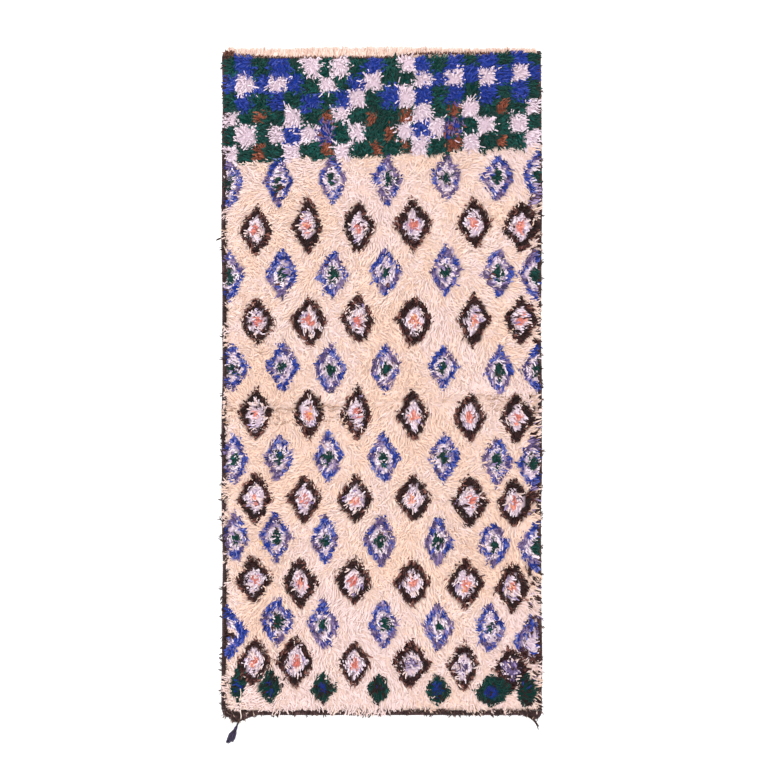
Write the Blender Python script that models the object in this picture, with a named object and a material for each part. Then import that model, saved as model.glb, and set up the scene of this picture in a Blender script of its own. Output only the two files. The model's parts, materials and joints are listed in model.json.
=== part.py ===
"""Berber shag rug lying flat: a field of knotted wool pile between two overcast selvedges, with a
fringed flat-woven heading at one end, an overcast band at the other and a yarn tassel at one corner.

All sizes are in metres. X runs across the rug, Y runs along it towards the heading, and Z is up.
The origin is on the underside, in the middle of the rug.

Run it with: blender --background --python part.py
"""

import math
import random

import bmesh
import bpy
from mathutils import Vector, noise

# The whole rug
RUG_WIDTH = 1.122  # over both selvedges
RUG_LENGTH = 2.334  # from the heading's edge to the end band's edge
GAP = 0.0003  # between neighbouring pieces
EDGE_WAVE = 0.0025  # how far an edge wanders from straight
EDGE_WAVE_LENGTH = 0.83
EDGE_PHASES = {"left": 0.4, "right": 2.9, "heading": 1.7}  # where each edge's wave starts, in radians

# The pile field
PILE_HEIGHT = 0.0255  # mean height of the lying pile above the floor
PILE_LUMP = 0.0042  # how far its lumps rise and dip
LUMP_SPACING = 0.075
FINE_LUMP = {"spacing": 0.033, "share": 0.5}  # smaller lumps on these
RIM_HEIGHT = 0.0105  # at the pile's outer wall, beside the bands
SHOULDER = 0.042  # over which the pile rises from its rim
SHOULDER_STEPS = (0.010, 0.026)  # grid lines inside the shoulder
SPACES_ACROSS = 20  # even grid spaces between the shoulders
SPACES_ALONG = 47
CREASE_Y = -0.078  # the soft trough left where the rug was folded in half
CREASE_DEPTH = 0.0045
CREASE_HALF_WIDTH = 0.030
CREASE_WANDER = 0.012

# The bands round the field: what each measures across, and its height at the inner and outer side
SELVEDGE_WIDTH = 0.016
HEADING_DEPTH = 0.031  # where it shows whole, at the left
HEADING_DEPTH_COVERED = 0.014  # at the right, where the pile lies over it
HEADING_STEP = (14, 19)  # the grid columns between which the pile comes to cover it
END_BAND_DEPTH = 0.019
SELVEDGE_HEIGHTS = (0.0090, 0.0060)
HEADING_HEIGHTS = (0.0070, 0.0040)
END_BAND_HEIGHTS = (0.0100, 0.0065)
END_BAND_INSET = 0.003  # its left end lies this far in from the selvedge's edge

# Corner shapes
LEFT_CORNER_RADIUS = 0.030  # where each selvedge meets the heading
RIGHT_CORNER_RADIUS = 0.012
CORNER_STUB = 0.0035  # the width that a selvedge keeps at its rounded end
END_SLANT = 0.009  # how far the end band's left end slopes inwards
END_SAGS = (  # where the end band hangs below its line, and how far it takes to come back on each side
    {"x": -0.518, "drop": 0.0255, "left": 0.029, "right": 0.090},
    {"x": 0.541, "drop": 0.0140, "left": 0.040, "right": 0.030},
)

# Locks: their number on each band, and sizes at the root and beyond the band's edge
SELVEDGE_LOCKS = 66
HEADING_LOCKS = 52
END_BAND_LOCKS = 34
LOCK_WIDTH = 0.0085
LEFT_LOCK_REACH = (0.004, 0.013)
RIGHT_LOCK_REACH = (0.005, 0.017)
HEADING_LOCK_REACH = (0.004, 0.010)
END_BAND_LOCK_REACH = (0.003, 0.008)
LOCK_LEAN = 0.7  # the most that a lock leans along the band, as a share of its reach
LOCK_SEEDS = {"left": 11, "right": 23, "heading": 31, "end_band": 47}
LOCK_STAGES = (
    {"reach": 0.55, "width": 0.72, "height": 0.74},
    {"reach": 0.45, "width": 0.38, "height": 0.45},
)

# The loose tail that the end band's last lock makes, bending as it goes
TAIL_LENGTH = 0.040
TAIL_HEADINGS = tuple(math.radians(turn) for turn in (-49, -52, -74))  # from the X axis
TAIL_STAGES = (
    {"reach": 0.25, "width": 0.75, "height": 1.00},
    {"reach": 0.40, "width": 0.75, "height": 0.85},
    {"reach": 0.35, "width": 0.40, "height": 0.50},
)

# The tassel at the left corner
TASSEL_ROOT_X = -0.5005
TASSEL_CLEARANCE = 0.018  # no lock of the end band is this near its root
TASSEL_HEADING = math.radians(-113.5)  # from the X axis
STEM_LENGTH = 0.021
STEM_WIDTH = 0.0070
TASSEL_HEAD_LENGTH = 0.010
TASSEL_HEAD_WIDTH = 0.0135
TASSEL_HEIGHT = 0.0080
TASSEL_STRANDS = 5
TASSEL_FAN = (math.radians(-100), math.radians(-119))  # the headings of its outermost strands
TASSEL_STRAND_LENGTHS = (0.037, 0.052)  # at each side of the fan
TASSEL_STRAND_GAP = 0.0006
TASSEL_STAGES = (
    {"reach": 0.55, "width": 1.75, "height": 0.90},
    {"reach": 0.45, "width": 0.40, "height": 0.40},
)

CREASE_ANGLE = math.radians(35)  # edges sharper than this are shaded as creases

# Wool colours, in linear red, green and blue
WOOLS = {
    "cream_wool": (0.88, 0.68, 0.52),
    "dark_brown_wool": (0.032, 0.014, 0.013),
    "heading_cotton": (0.83, 0.63, 0.50),
    "aubergine_wool": (0.030, 0.018, 0.045),
}


def clear_scene():
    for item in list(bpy.data.objects):
        bpy.data.objects.remove(item)


def wool(name):
    material = bpy.data.materials.new(name)
    material.use_nodes = True
    shader = material.node_tree.nodes["Principled BSDF"]
    shader.inputs["Base Color"].default_value = (*WOOLS[name], 1.0)
    shader.inputs["Roughness"].default_value = 0.95
    shader.inputs["Metallic"].default_value = 0.0
    return material


def add_object(name, mesh_data, collection, material):
    """Turns a finished bmesh into a named object with its faces pointing out."""
    bmesh.ops.recalc_face_normals(mesh_data, faces=mesh_data.faces)
    mesh = bpy.data.meshes.new(name)
    mesh_data.to_mesh(mesh)
    mesh_data.free()
    mesh.shade_smooth()
    mesh.set_sharp_from_angle(angle=CREASE_ANGLE)
    item = bpy.data.objects.new(name, mesh)
    item.data.materials.append(material)
    collection.objects.link(item)
    return item


def smooth_step(low, high, value):
    share = min(1.0, max(0.0, (value - low) / (high - low)))
    return share * share * (3.0 - 2.0 * share)


def edge_wave(along, phase):
    """The slow wander of a hand-woven edge."""
    turn = math.tau * along / EDGE_WAVE_LENGTH + phase
    return EDGE_WAVE * (0.7 * math.sin(turn) + 0.3 * math.sin(2.6 * turn))


def left_edge(y):
    return -RUG_WIDTH / 2 + edge_wave(y, EDGE_PHASES["left"])


def right_edge(y):
    return RUG_WIDTH / 2 + edge_wave(y, EDGE_PHASES["right"])


def corner_pull(into_corner, radius):
    """How far a rounded corner lies in from the straight line, this far into its radius."""
    into_corner = min(radius, max(0.0, into_corner))
    return radius - math.sqrt(radius**2 - into_corner**2)


def heading_edge(x):
    end = RUG_LENGTH / 2
    left = corner_pull(left_edge(end) + LEFT_CORNER_RADIUS - x, LEFT_CORNER_RADIUS)
    right = corner_pull(x - right_edge(end) + RIGHT_CORNER_RADIUS, RIGHT_CORNER_RADIUS)
    return end + edge_wave(x, EDGE_PHASES["heading"]) - left - right


def grid_shares(length, spaces):
    """Shares of a length for grid lines: close together in the shoulders, with even spaces between."""
    rim = [step / length for step in (0.0, *SHOULDER_STEPS)]
    inner = SHOULDER / length
    even = [inner + (1 - 2 * inner) * i / spaces for i in range(spaces + 1)]
    return rim + even + [1 - share for share in reversed(rim)]


COLUMN_SHARES = grid_shares(RUG_WIDTH - 2 * SELVEDGE_WIDTH, SPACES_ACROSS)
ROW_SHARES = grid_shares(RUG_LENGTH, SPACES_ALONG)


def field_corner_x(edge, inward):
    """Where the field's side meets the heading."""
    return edge(RUG_LENGTH / 2 - HEADING_DEPTH) + inward * SELVEDGE_WIDTH


def heading_step_x():
    """The two places between which the heading's inner line slants, both on the field's grid."""
    left, right = field_corner_x(left_edge, 1), field_corner_x(right_edge, -1)
    return [left + COLUMN_SHARES[i] * (right - left) for i in HEADING_STEP]


def heading_depth(x):
    start, end = heading_step_x()
    covered = min(1.0, max(0.0, (x - start) / (end - start)))
    return HEADING_DEPTH + covered * (HEADING_DEPTH_COVERED - HEADING_DEPTH)


def end_edge(x):
    """The end band's outer line, sagging at both corners."""
    y = -RUG_LENGTH / 2
    for sag in END_SAGS:
        side = sag["left"] if x < sag["x"] else sag["right"]
        y -= sag["drop"] * smooth_step(side, 0.0, abs(x - sag["x"]))
    return y


def field_top(x):
    return RUG_LENGTH / 2 - heading_depth(x)


def field_bottom():
    return -RUG_LENGTH / 2 + END_BAND_DEPTH


def pile_top(x, y, from_edge):
    """The height of the lying pile: lumps in the open field, a shoulder at the rim and the crease."""
    place = Vector((x, y, 0.0))
    fine = FINE_LUMP["share"] * noise.noise(place / FINE_LUMP["spacing"])
    lump = noise.noise(place / LUMP_SPACING) + fine
    middle = CREASE_Y + CREASE_WANDER * math.sin(math.tau * x / RUG_WIDTH)
    crease = max(0.0, 1.0 - abs(y - middle) / CREASE_HALF_WIDTH)
    full = PILE_HEIGHT + PILE_LUMP * lump - CREASE_DEPTH * crease
    rise = math.sqrt(smooth_step(0.0, SHOULDER, from_edge))
    return RIM_HEIGHT + (full - RIM_HEIGHT) * rise


def pile_field(collection, material):
    """The knotted field: a grid laid to the field's outline, raised to the pile, and walled to the floor."""
    columns, rows = len(COLUMN_SHARES) - 1, len(ROW_SHARES) - 1
    work = bmesh.new()
    bmesh.ops.create_grid(work, x_segments=columns, y_segments=rows, size=1.0)
    bottom = field_bottom()
    for vertex in work.verts:
        across = COLUMN_SHARES[round((vertex.co.x + 1) / 2 * columns)]
        along = ROW_SHARES[round((vertex.co.y + 1) / 2 * rows)]
        left, right = field_corner_x(left_edge, 1), field_corner_x(right_edge, -1)
        top = field_top(left + across * (right - left))
        y = bottom + along * (top - bottom)
        if along < 1.0:
            left = left_edge(y) + SELVEDGE_WIDTH
            right = right_edge(y) - SELVEDGE_WIDTH
        x = left + across * (right - left)
        from_edge = min(x - left, right - x, y - bottom, top - y)
        vertex.co = (x, y, pile_top(x, y, from_edge))
    rim = [edge for edge in work.edges if edge.is_boundary]
    walls = bmesh.ops.extrude_edge_only(work, edges=rim)["geom"]
    for item in walls:
        if isinstance(item, bmesh.types.BMVert):
            item.co.z = 0.0
    foot = [edge for edge in work.edges if edge.is_boundary]
    bmesh.ops.edgeloop_fill(work, edges=foot)
    return add_object("pile_field", work, collection, material)


def grow_lock(work, face, directions, length, stages):
    """Draws a wall face out into a tapering lock whose underside stays on the floor."""
    for direction, stage in zip(directions, stages):
        face = bmesh.ops.extrude_discrete_faces(work, faces=[face])["faces"][0]
        middle = sum((v.co for v in face.verts), Vector()) / len(face.verts)
        middle.z = 0.0
        step = direction * length * stage["reach"]
        for vertex in face.verts:
            spread = vertex.co - middle
            height = spread.z * stage["height"]
            spread.z = 0.0
            vertex.co = middle + spread * stage["width"] + step
            vertex.co.z = height


def band_mesh(inner, outer, heights):
    """A band lofted between two lines on the floor, with its height at each of them.
    Returns the mesh and its outer wall faces, in order along the band."""
    work = bmesh.new()
    count = len(inner)
    bmesh.ops.create_grid(work, x_segments=1, y_segments=count - 1, size=1.0)
    station = work.verts.layers.int.new("station")
    side = work.verts.layers.int.new("side")
    for vertex in work.verts:
        vertex[station] = round((vertex.co.y + 1) / 2 * (count - 1))
        vertex[side] = round((vertex.co.x + 1) / 2)
        line = (inner, outer)[vertex[side]]
        vertex.co = (*line[vertex[station]], 0.0)
    raised = bmesh.ops.extrude_face_region(
        work, geom=work.faces[:], use_keep_orig=True
    )["geom"]
    for item in raised:
        if isinstance(item, bmesh.types.BMVert):
            item.co.z = heights[item[side]]
    outside = {}
    for face in work.faces:
        stations = {vertex[station] for vertex in face.verts}
        if all(vertex[side] == 1 for vertex in face.verts) and len(stations) == 2:
            outside[min(stations)] = face
    return work, [outside[i] for i in sorted(outside)]


def lock_stations(start, end, locks):
    """Places along a band: each lock has a place at either side of its root, with a bare stretch between."""
    pitch = (end - start) / locks
    places = [start]
    for i in range(locks):
        middle = start + (i + 0.5) * pitch
        places += [middle - LOCK_WIDTH / 2, middle + LOCK_WIDTH / 2]
    return places + [end]


def add_locks(work, walls, outward, reach, seed):
    """Grows a lock from each of these wall faces, with its own reach and lean."""
    chance = random.Random(seed)
    along = Vector((-outward.y, outward.x, 0.0))
    for wall in walls:
        lean = chance.uniform(-LOCK_LEAN, LOCK_LEAN)
        directions = [outward + along * lean] * len(LOCK_STAGES)
        grow_lock(work, wall, directions, chance.uniform(*reach), LOCK_STAGES)


def selvedge(side, collection, material):
    """An overcast side edge, rounded off at the heading, with short locks of the binding wool."""
    if side == "left":
        edge, outward_x, radius, reach = left_edge, -1, LEFT_CORNER_RADIUS, LEFT_LOCK_REACH
    else:
        edge, outward_x, radius, reach = right_edge, 1, RIGHT_CORNER_RADIUS, RIGHT_LOCK_REACH
    inner_x = edge(RUG_LENGTH / 2) - outward_x * SELVEDGE_WIDTH
    start, end = field_bottom(), heading_edge(inner_x) - GAP
    places = lock_stations(start, end, SELVEDGE_LOCKS)
    places.insert(-1, (places[-2] + 2 * end) / 3)
    inner, outer = [], []
    for y in places:
        pulled_in = corner_pull(y - RUG_LENGTH / 2 + radius, radius)
        pulled_in = min(pulled_in, SELVEDGE_WIDTH - CORNER_STUB)
        inner.append((edge(y) - outward_x * (SELVEDGE_WIDTH - GAP), y))
        outer.append((edge(y) - outward_x * pulled_in, y))
    work, walls = band_mesh(inner, outer, SELVEDGE_HEIGHTS)
    outward = Vector((outward_x, 0.0, 0.0))
    add_locks(work, walls[1:-2:2], outward, reach, LOCK_SEEDS[side])
    return add_object(f"selvedge_{side}", work, collection, material)


def heading(collection, material):
    """The flat-woven heading at the top, its warp ends cut to a short fringe."""
    start, end = field_corner_x(left_edge, 1), field_corner_x(right_edge, -1)
    roots = lock_stations(start, end, HEADING_LOCKS)
    places = sorted(roots + heading_step_x())
    inner = [(x, field_top(x) + GAP) for x in places]
    outer = [(x, heading_edge(x)) for x in places]
    work, walls = band_mesh(inner, outer, HEADING_HEIGHTS)
    lock_walls = [walls[places.index(root)] for root in roots[1:-1:2]]
    outward = Vector((0.0, 1.0, 0.0))
    add_locks(work, lock_walls, outward, HEADING_LOCK_REACH, LOCK_SEEDS["heading"])
    return add_object("heading_fringe", work, collection, material)


def end_band_lines():
    """The end band's inner and outer lines."""
    start = left_edge(field_bottom()) + END_BAND_INSET
    end = right_edge(field_bottom())
    places = lock_stations(start, end, END_BAND_LOCKS)
    inner = [(x, field_bottom() - GAP) for x in places]
    places[0] += END_SLANT
    outer = [(x, end_edge(x)) for x in places]
    return inner, outer


def tassel_root():
    """The tassel's place on the end band's outer line, and that line's slope there."""
    _, outer = end_band_lines()
    for (x0, y0), (x1, y1) in zip(outer, outer[1:]):
        if x0 <= TASSEL_ROOT_X <= x1:
            y = y0 + (y1 - y0) * (TASSEL_ROOT_X - x0) / (x1 - x0)
            return Vector((TASSEL_ROOT_X, y, 0.0)), (y1 - y0) / (x1 - x0)


def end_band(collection, material):
    """The overcast band at the foot. It sags at both corners, and its last lock is a loose tail."""
    inner, outer = end_band_lines()
    work, walls = band_mesh(inner, outer, END_BAND_HEIGHTS)
    *lock_walls, tail_wall = walls[1::2]
    directions = [Vector((math.cos(a), math.sin(a), 0.0)) for a in TAIL_HEADINGS]
    grow_lock(work, tail_wall, directions, TAIL_LENGTH, TAIL_STAGES)
    root, _ = tassel_root()
    clear_walls = [
        wall
        for wall in lock_walls
        if abs(wall.calc_center_median().x - root.x) > TASSEL_CLEARANCE
    ]
    outward = Vector((0.0, -1.0, 0.0))
    add_locks(work, clear_walls, outward, END_BAND_LOCK_REACH, LOCK_SEEDS["end_band"])
    return add_object("end_band", work, collection, material)


def corner_tassel(collection, material):
    """A short stem, a head and five loose strands that fan out across the floor."""
    ahead = Vector((math.cos(TASSEL_HEADING), math.sin(TASSEL_HEADING), 0.0))
    across = Vector((ahead.y, -ahead.x, 0.0))
    root, slope = tassel_root()
    neck = root + ahead * STEM_LENGTH
    front = neck + ahead * TASSEL_HEAD_LENGTH
    pitch = TASSEL_HEAD_WIDTH / TASSEL_STRANDS
    offsets = []
    for i in range(TASSEL_STRANDS):
        low = -TASSEL_HEAD_WIDTH / 2 + i * pitch
        offsets += [low + TASSEL_STRAND_GAP / 2, low + pitch - TASSEL_STRAND_GAP / 2]
    narrow = STEM_WIDTH / TASSEL_HEAD_WIDTH
    inner = [tuple((neck + across * place * narrow).xy) for place in offsets]
    outer = [tuple((front + across * place).xy) for place in offsets]
    work, walls = band_mesh(inner, outer, (TASSEL_HEIGHT, TASSEL_HEIGHT))
    for i, wall in enumerate(walls[::2]):
        share = i / (TASSEL_STRANDS - 1)
        turn = TASSEL_FAN[0] + share * (TASSEL_FAN[1] - TASSEL_FAN[0])
        short, long = TASSEL_STRAND_LENGTHS
        directions = [Vector((math.cos(turn), math.sin(turn), 0.0))] * 2
        grow_lock(work, wall, directions, short + share * (long - short), TASSEL_STAGES)
    back = [
        face
        for face in work.faces
        if (face.calc_center_median() - neck).dot(ahead) < GAP
    ]
    stem = bmesh.ops.extrude_face_region(work, geom=back)["geom"]
    bmesh.ops.delete(work, geom=back, context="FACES_ONLY")
    for item in stem:
        if isinstance(item, bmesh.types.BMVert):
            off_root = item.co - root
            short = slope * off_root.x - off_root.y - 1.5 * GAP
            item.co -= ahead * short / (slope * ahead.x - ahead.y)
    return add_object("corner_tassel", work, collection, material)


def main():
    clear_scene()
    collection = bpy.data.collections.new("berber rug")
    bpy.context.scene.collection.children.link(collection)
    cream, brown = wool("cream_wool"), wool("dark_brown_wool")
    pile_field(collection, cream)
    selvedge("left", collection, brown)
    selvedge("right", collection, brown)
    heading(collection, wool("heading_cotton"))
    end_band(collection, brown)
    corner_tassel(collection, wool("aubergine_wool"))


main()
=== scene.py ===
import json
import math

import bpy
import numpy as np
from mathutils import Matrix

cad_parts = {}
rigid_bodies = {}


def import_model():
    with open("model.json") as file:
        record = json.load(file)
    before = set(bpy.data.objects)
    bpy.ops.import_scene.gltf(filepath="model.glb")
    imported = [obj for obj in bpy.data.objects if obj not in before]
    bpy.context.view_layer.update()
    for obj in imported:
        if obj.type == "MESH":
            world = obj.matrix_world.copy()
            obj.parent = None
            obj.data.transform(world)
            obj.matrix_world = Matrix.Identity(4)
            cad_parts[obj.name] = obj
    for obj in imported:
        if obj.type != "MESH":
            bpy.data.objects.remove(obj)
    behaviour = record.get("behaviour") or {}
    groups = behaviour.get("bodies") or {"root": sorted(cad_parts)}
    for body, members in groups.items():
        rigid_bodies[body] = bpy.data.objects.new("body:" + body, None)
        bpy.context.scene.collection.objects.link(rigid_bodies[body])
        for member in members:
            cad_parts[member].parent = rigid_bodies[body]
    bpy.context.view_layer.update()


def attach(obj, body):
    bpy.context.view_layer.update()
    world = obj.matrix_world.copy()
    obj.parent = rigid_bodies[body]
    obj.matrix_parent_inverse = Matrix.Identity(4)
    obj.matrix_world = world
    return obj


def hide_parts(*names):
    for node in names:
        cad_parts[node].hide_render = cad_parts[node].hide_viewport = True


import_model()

# A hand-knotted berber shag rug, flat on the floor: a ground cloth tied full of wool pile,
# overcast side edges, a cotton heading, an overcast end band and a yarn tassel.
# Everything is in metres. X runs across the rug, Y along it towards the heading.


# The rug's plan, as the solids have it
plan = {
    "width": 1.122,
    "length": 2.334,
    "gap": 0.0003,
    "wander": 0.0025,  # how far an edge strays from straight
    "wanderLength": 0.83,
    "leftPhase": 0.4,
    "rightPhase": 2.9,
    "headingPhase": 1.7,
    "selvedgeWidth": 0.016,
    "headingDepth": 0.031,
    "coveredDepth": 0.014,  # where the pile lies over the heading
    "coverStart": 0.205,
    "coverEnd": 0.512,
    "endBandDepth": 0.019,
    "leftCorner": 0.030,
    "rightCorner": 0.012,
    "fieldHalf": 0.545,
    "downFrom": 1.15,  # where the rug begins to lean more and more to its end, and over what length
    "downLength": 2.3,
}

sags = (  # the end band hangs below its line at both corners
    {"x": -0.518, "drop": 0.0255, "left": 0.029, "right": 0.090},
    {"x": 0.541, "drop": 0.0140, "left": 0.040, "right": 0.030},
)


def smoothStep(low, high, value):
    # 3s^2 - 2s^3 of the share s of the way from low to high
    share = np.clip((value - low) / (high - low), 0.0, 1.0)
    return share * share * (3.0 - 2.0 * share)


def edgeWander(along, phase):
    # the sum of two sines, one 2.6 times as quick as the other
    turn = math.tau * along / plan["wanderLength"] + phase
    return plan["wander"] * (0.7 * np.sin(turn) + 0.3 * np.sin(2.6 * turn))


def leftEdge(y):
    # half the width to the left, and its wander
    return -plan["width"] / 2 + edgeWander(y, plan["leftPhase"])


def rightEdge(y):
    # half the width to the right, and its wander
    return plan["width"] / 2 + edgeWander(y, plan["rightPhase"])


def cornerPull(into, radius):
    # how far a quarter circle of this radius lies in from its tangent
    into = np.clip(into, 0.0, radius)
    return radius - np.sqrt(radius**2 - into**2)


def headingEdge(x):
    # half the length and its wander, less a quarter circle at each corner
    end = plan["length"] / 2
    left = cornerPull(leftEdge(end) + plan["leftCorner"] - x, plan["leftCorner"])
    right = cornerPull(x - rightEdge(end) + plan["rightCorner"], plan["rightCorner"])
    return end + edgeWander(x, plan["headingPhase"]) - left - right


def headingInner(x):
    # the heading's inner line: straight, then slanting up where the pile comes to cover it
    share = np.clip((x - plan["coverStart"]) / (plan["coverEnd"] - plan["coverStart"]), 0.0, 1.0)
    depth = plan["headingDepth"] + share * (plan["coveredDepth"] - plan["headingDepth"])
    return plan["length"] / 2 - depth


def endEdge(x):
    # the end band's outer line: straight, less a smooth sag at each corner
    y = np.full_like(np.asarray(x, float), -plan["length"] / 2)
    for sag in sags:
        side = np.where(x < sag["x"], sag["left"], sag["right"])
        y = y - sag["drop"] * (1.0 - smoothStep(0.0, 1.0, np.abs(x - sag["x"]) / side))
    return y


fieldBottom = -plan["length"] / 2 + plan["endBandDepth"]


def fieldLeft(y):
    # where the pile begins, beside the left band
    return leftEdge(y) + plan["selvedgeWidth"]


def fieldRight(y):
    # where the pile ends, beside the right band
    return rightEdge(y) - plan["selvedgeWidth"]


def fieldPlace(across, along, short=0.0):
    # the place at these shares of the field's width and length, its length less short; the heading's
    # line is read where the share would be on a field with straight sides
    straightX = -plan["fieldHalf"] + 2 * plan["fieldHalf"] * across
    y = fieldBottom + along * (headingInner(straightX) - short - fieldBottom)
    return fieldLeft(y) + across * (fieldRight(y) - fieldLeft(y)), y


def fromRim(x, y):
    # how far a place lies in from the nearest edge of the field
    return np.minimum(np.minimum(x - fieldLeft(y), fieldRight(y) - x),
                      np.minimum(y - fieldBottom, headingInner(x) - y))


def downShare(y):
    # 0 at the heading and 1 at the end
    return np.clip((plan["downFrom"] - y) / plan["downLength"], 0.0, 1.0)


def smoothNoise(x, y, spacing, seed):
    # random values from -1 to 1 on a square lattice, blended smoothly between its points
    lattice = np.random.default_rng(seed).uniform(-1.0, 1.0, (256, 256))
    across, along = x / spacing + 128.0, y / spacing + 128.0
    i, j = np.floor(across).astype(int), np.floor(along).astype(int)
    a, b = across - i, along - j
    a, b = a * a * (3.0 - 2.0 * a), b * b * (3.0 - 2.0 * b)
    i, j, nextI, nextJ = i % 256, j % 256, (i + 1) % 256, (j + 1) % 256
    low = lattice[i, j] * (1.0 - a) + lattice[nextI, j] * a
    high = lattice[i, nextJ] * (1.0 - a) + lattice[nextI, nextJ] * a
    return low * (1.0 - b) + high * b


# Making meshes, nodes and colours

def hexToLinear(text):
    # each sRGB channel c becomes ((c + 0.055) / 1.055)^2.4, or c / 12.92 near black
    channels = [int(text[i:i + 2], 16) / 255.0 for i in (1, 3, 5)]
    return [c / 12.92 if c <= 0.04045 else ((c + 0.055) / 1.055) ** 2.4 for c in channels] + [1.0]


def addNode(tree, kind, settings=None, links=None):
    # adds one shader node; settings go to its properties or its sockets, and links join its
    # sockets to another socket, or to the first output of a node
    node = tree.nodes.new("ShaderNode" + kind)
    for key, value in (settings or {}).items():
        if key == "stops":
            ramp = node.color_ramp
            while len(ramp.elements) < len(value):
                ramp.elements.new(0.5)
            for element, (place, colour) in zip(ramp.elements, value):
                element.position = place
            for element, (place, colour) in zip(ramp.elements, value):
                element.color = hexToLinear(colour)
        elif isinstance(key, str) and hasattr(node, key):
            setattr(node, key, value)
        else:
            node.inputs[key].default_value = value
    for key, source in (links or {}).items():
        tree.links.new(getattr(source, "outputs", [source])[0], node.inputs[key])
    return node


multiply = {"data_type": "RGBA", "blend_type": "MULTIPLY", 0: 1.0}  # a Mix node: 6 times 7, out at 2


def newMaterial(name):
    # a material and its nodes, so far only the shader
    material = bpy.data.materials.new(name)
    material.use_nodes = True
    return material, material.node_tree


def finishMaterial(material, sockets, colour=None, height=None, strength=1.0, distance=0.001):
    # gives the shader its constant values, its colour and bumps as strong and as high as these
    tree = material.node_tree
    shader = tree.nodes["Principled BSDF"]
    for socket, value in sockets.items():
        shader.inputs[socket].default_value = value
    if colour is not None:
        bump = addNode(tree, "Bump", {"Strength": strength, "Distance": distance}, {"Height": height})
        tree.links.new(colour.outputs[2], shader.inputs["Base Color"])
        tree.links.new(bump.outputs[0], shader.inputs["Normal"])
    return material


def addItem(name, data):
    # an object of this mesh, light or camera, in the scene
    item = bpy.data.objects.new(name, data)
    bpy.context.scene.collection.objects.link(item)
    return item


def addMesh(name, points, faces, material, uv=None):
    # points is one row a vertex, faces a list of index arrays with three or four corners a row
    mesh = bpy.data.meshes.new(name)
    corners = np.concatenate([part.ravel() for part in faces]).astype(np.int32)
    sizes = np.concatenate([np.full(len(part), part.shape[1]) for part in faces])
    starts = np.concatenate([[0], np.cumsum(sizes)[:-1]]).astype(np.int32)
    mesh.vertices.add(len(points))
    mesh.vertices.foreach_set("co", points.astype(np.float32).ravel())
    mesh.loops.add(len(corners))
    mesh.loops.foreach_set("vertex_index", corners)
    mesh.polygons.add(len(starts))
    mesh.polygons.foreach_set("loop_start", starts)
    mesh.update(calc_edges=True)
    mesh.polygons.foreach_set("use_smooth", np.ones(len(starts), bool))
    if uv is not None:
        layer = mesh.uv_layers.new(name="OFBake")
        layer.data.foreach_set("uv", uv.astype(np.float32).ravel())
    mesh.update()
    item = addItem(name, mesh)
    item.data.materials.append(material)
    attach(item, "root")
    return item


def gridFaces(rows, columns, closed=False):
    # quads between neighbouring rows and columns; closed joins the last column to the first
    across = np.arange(columns if closed else columns - 1)
    nextAcross = (across + 1) % columns
    down = np.arange(rows - 1)[:, None] * columns
    quads = [down + across, down + nextAcross, down + columns + nextAcross, down + columns + across]
    return np.stack(quads, axis=-1).reshape(-1, 4)


# Pile: every strand is a short tube with three sides, and its yarn's piece holds all of them

strandShape = {
    "girth": 0.0027,  # half the width of a yarn end at its fattest
    "flatness": 0.48,  # of its height to its width, as it lies open and trodden
    "bow": 1.12,  # above 1 it leaves the ground steeply and lies over later
    "arch": 2.2,
    "uvHalfWidth": 0.012,
    "stations": (0.0, 0.46, 0.93, 1.0),  # three rings and the tip
    "profile": (0.85, 1.0, 0.84),  # radius at the rings
}


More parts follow.
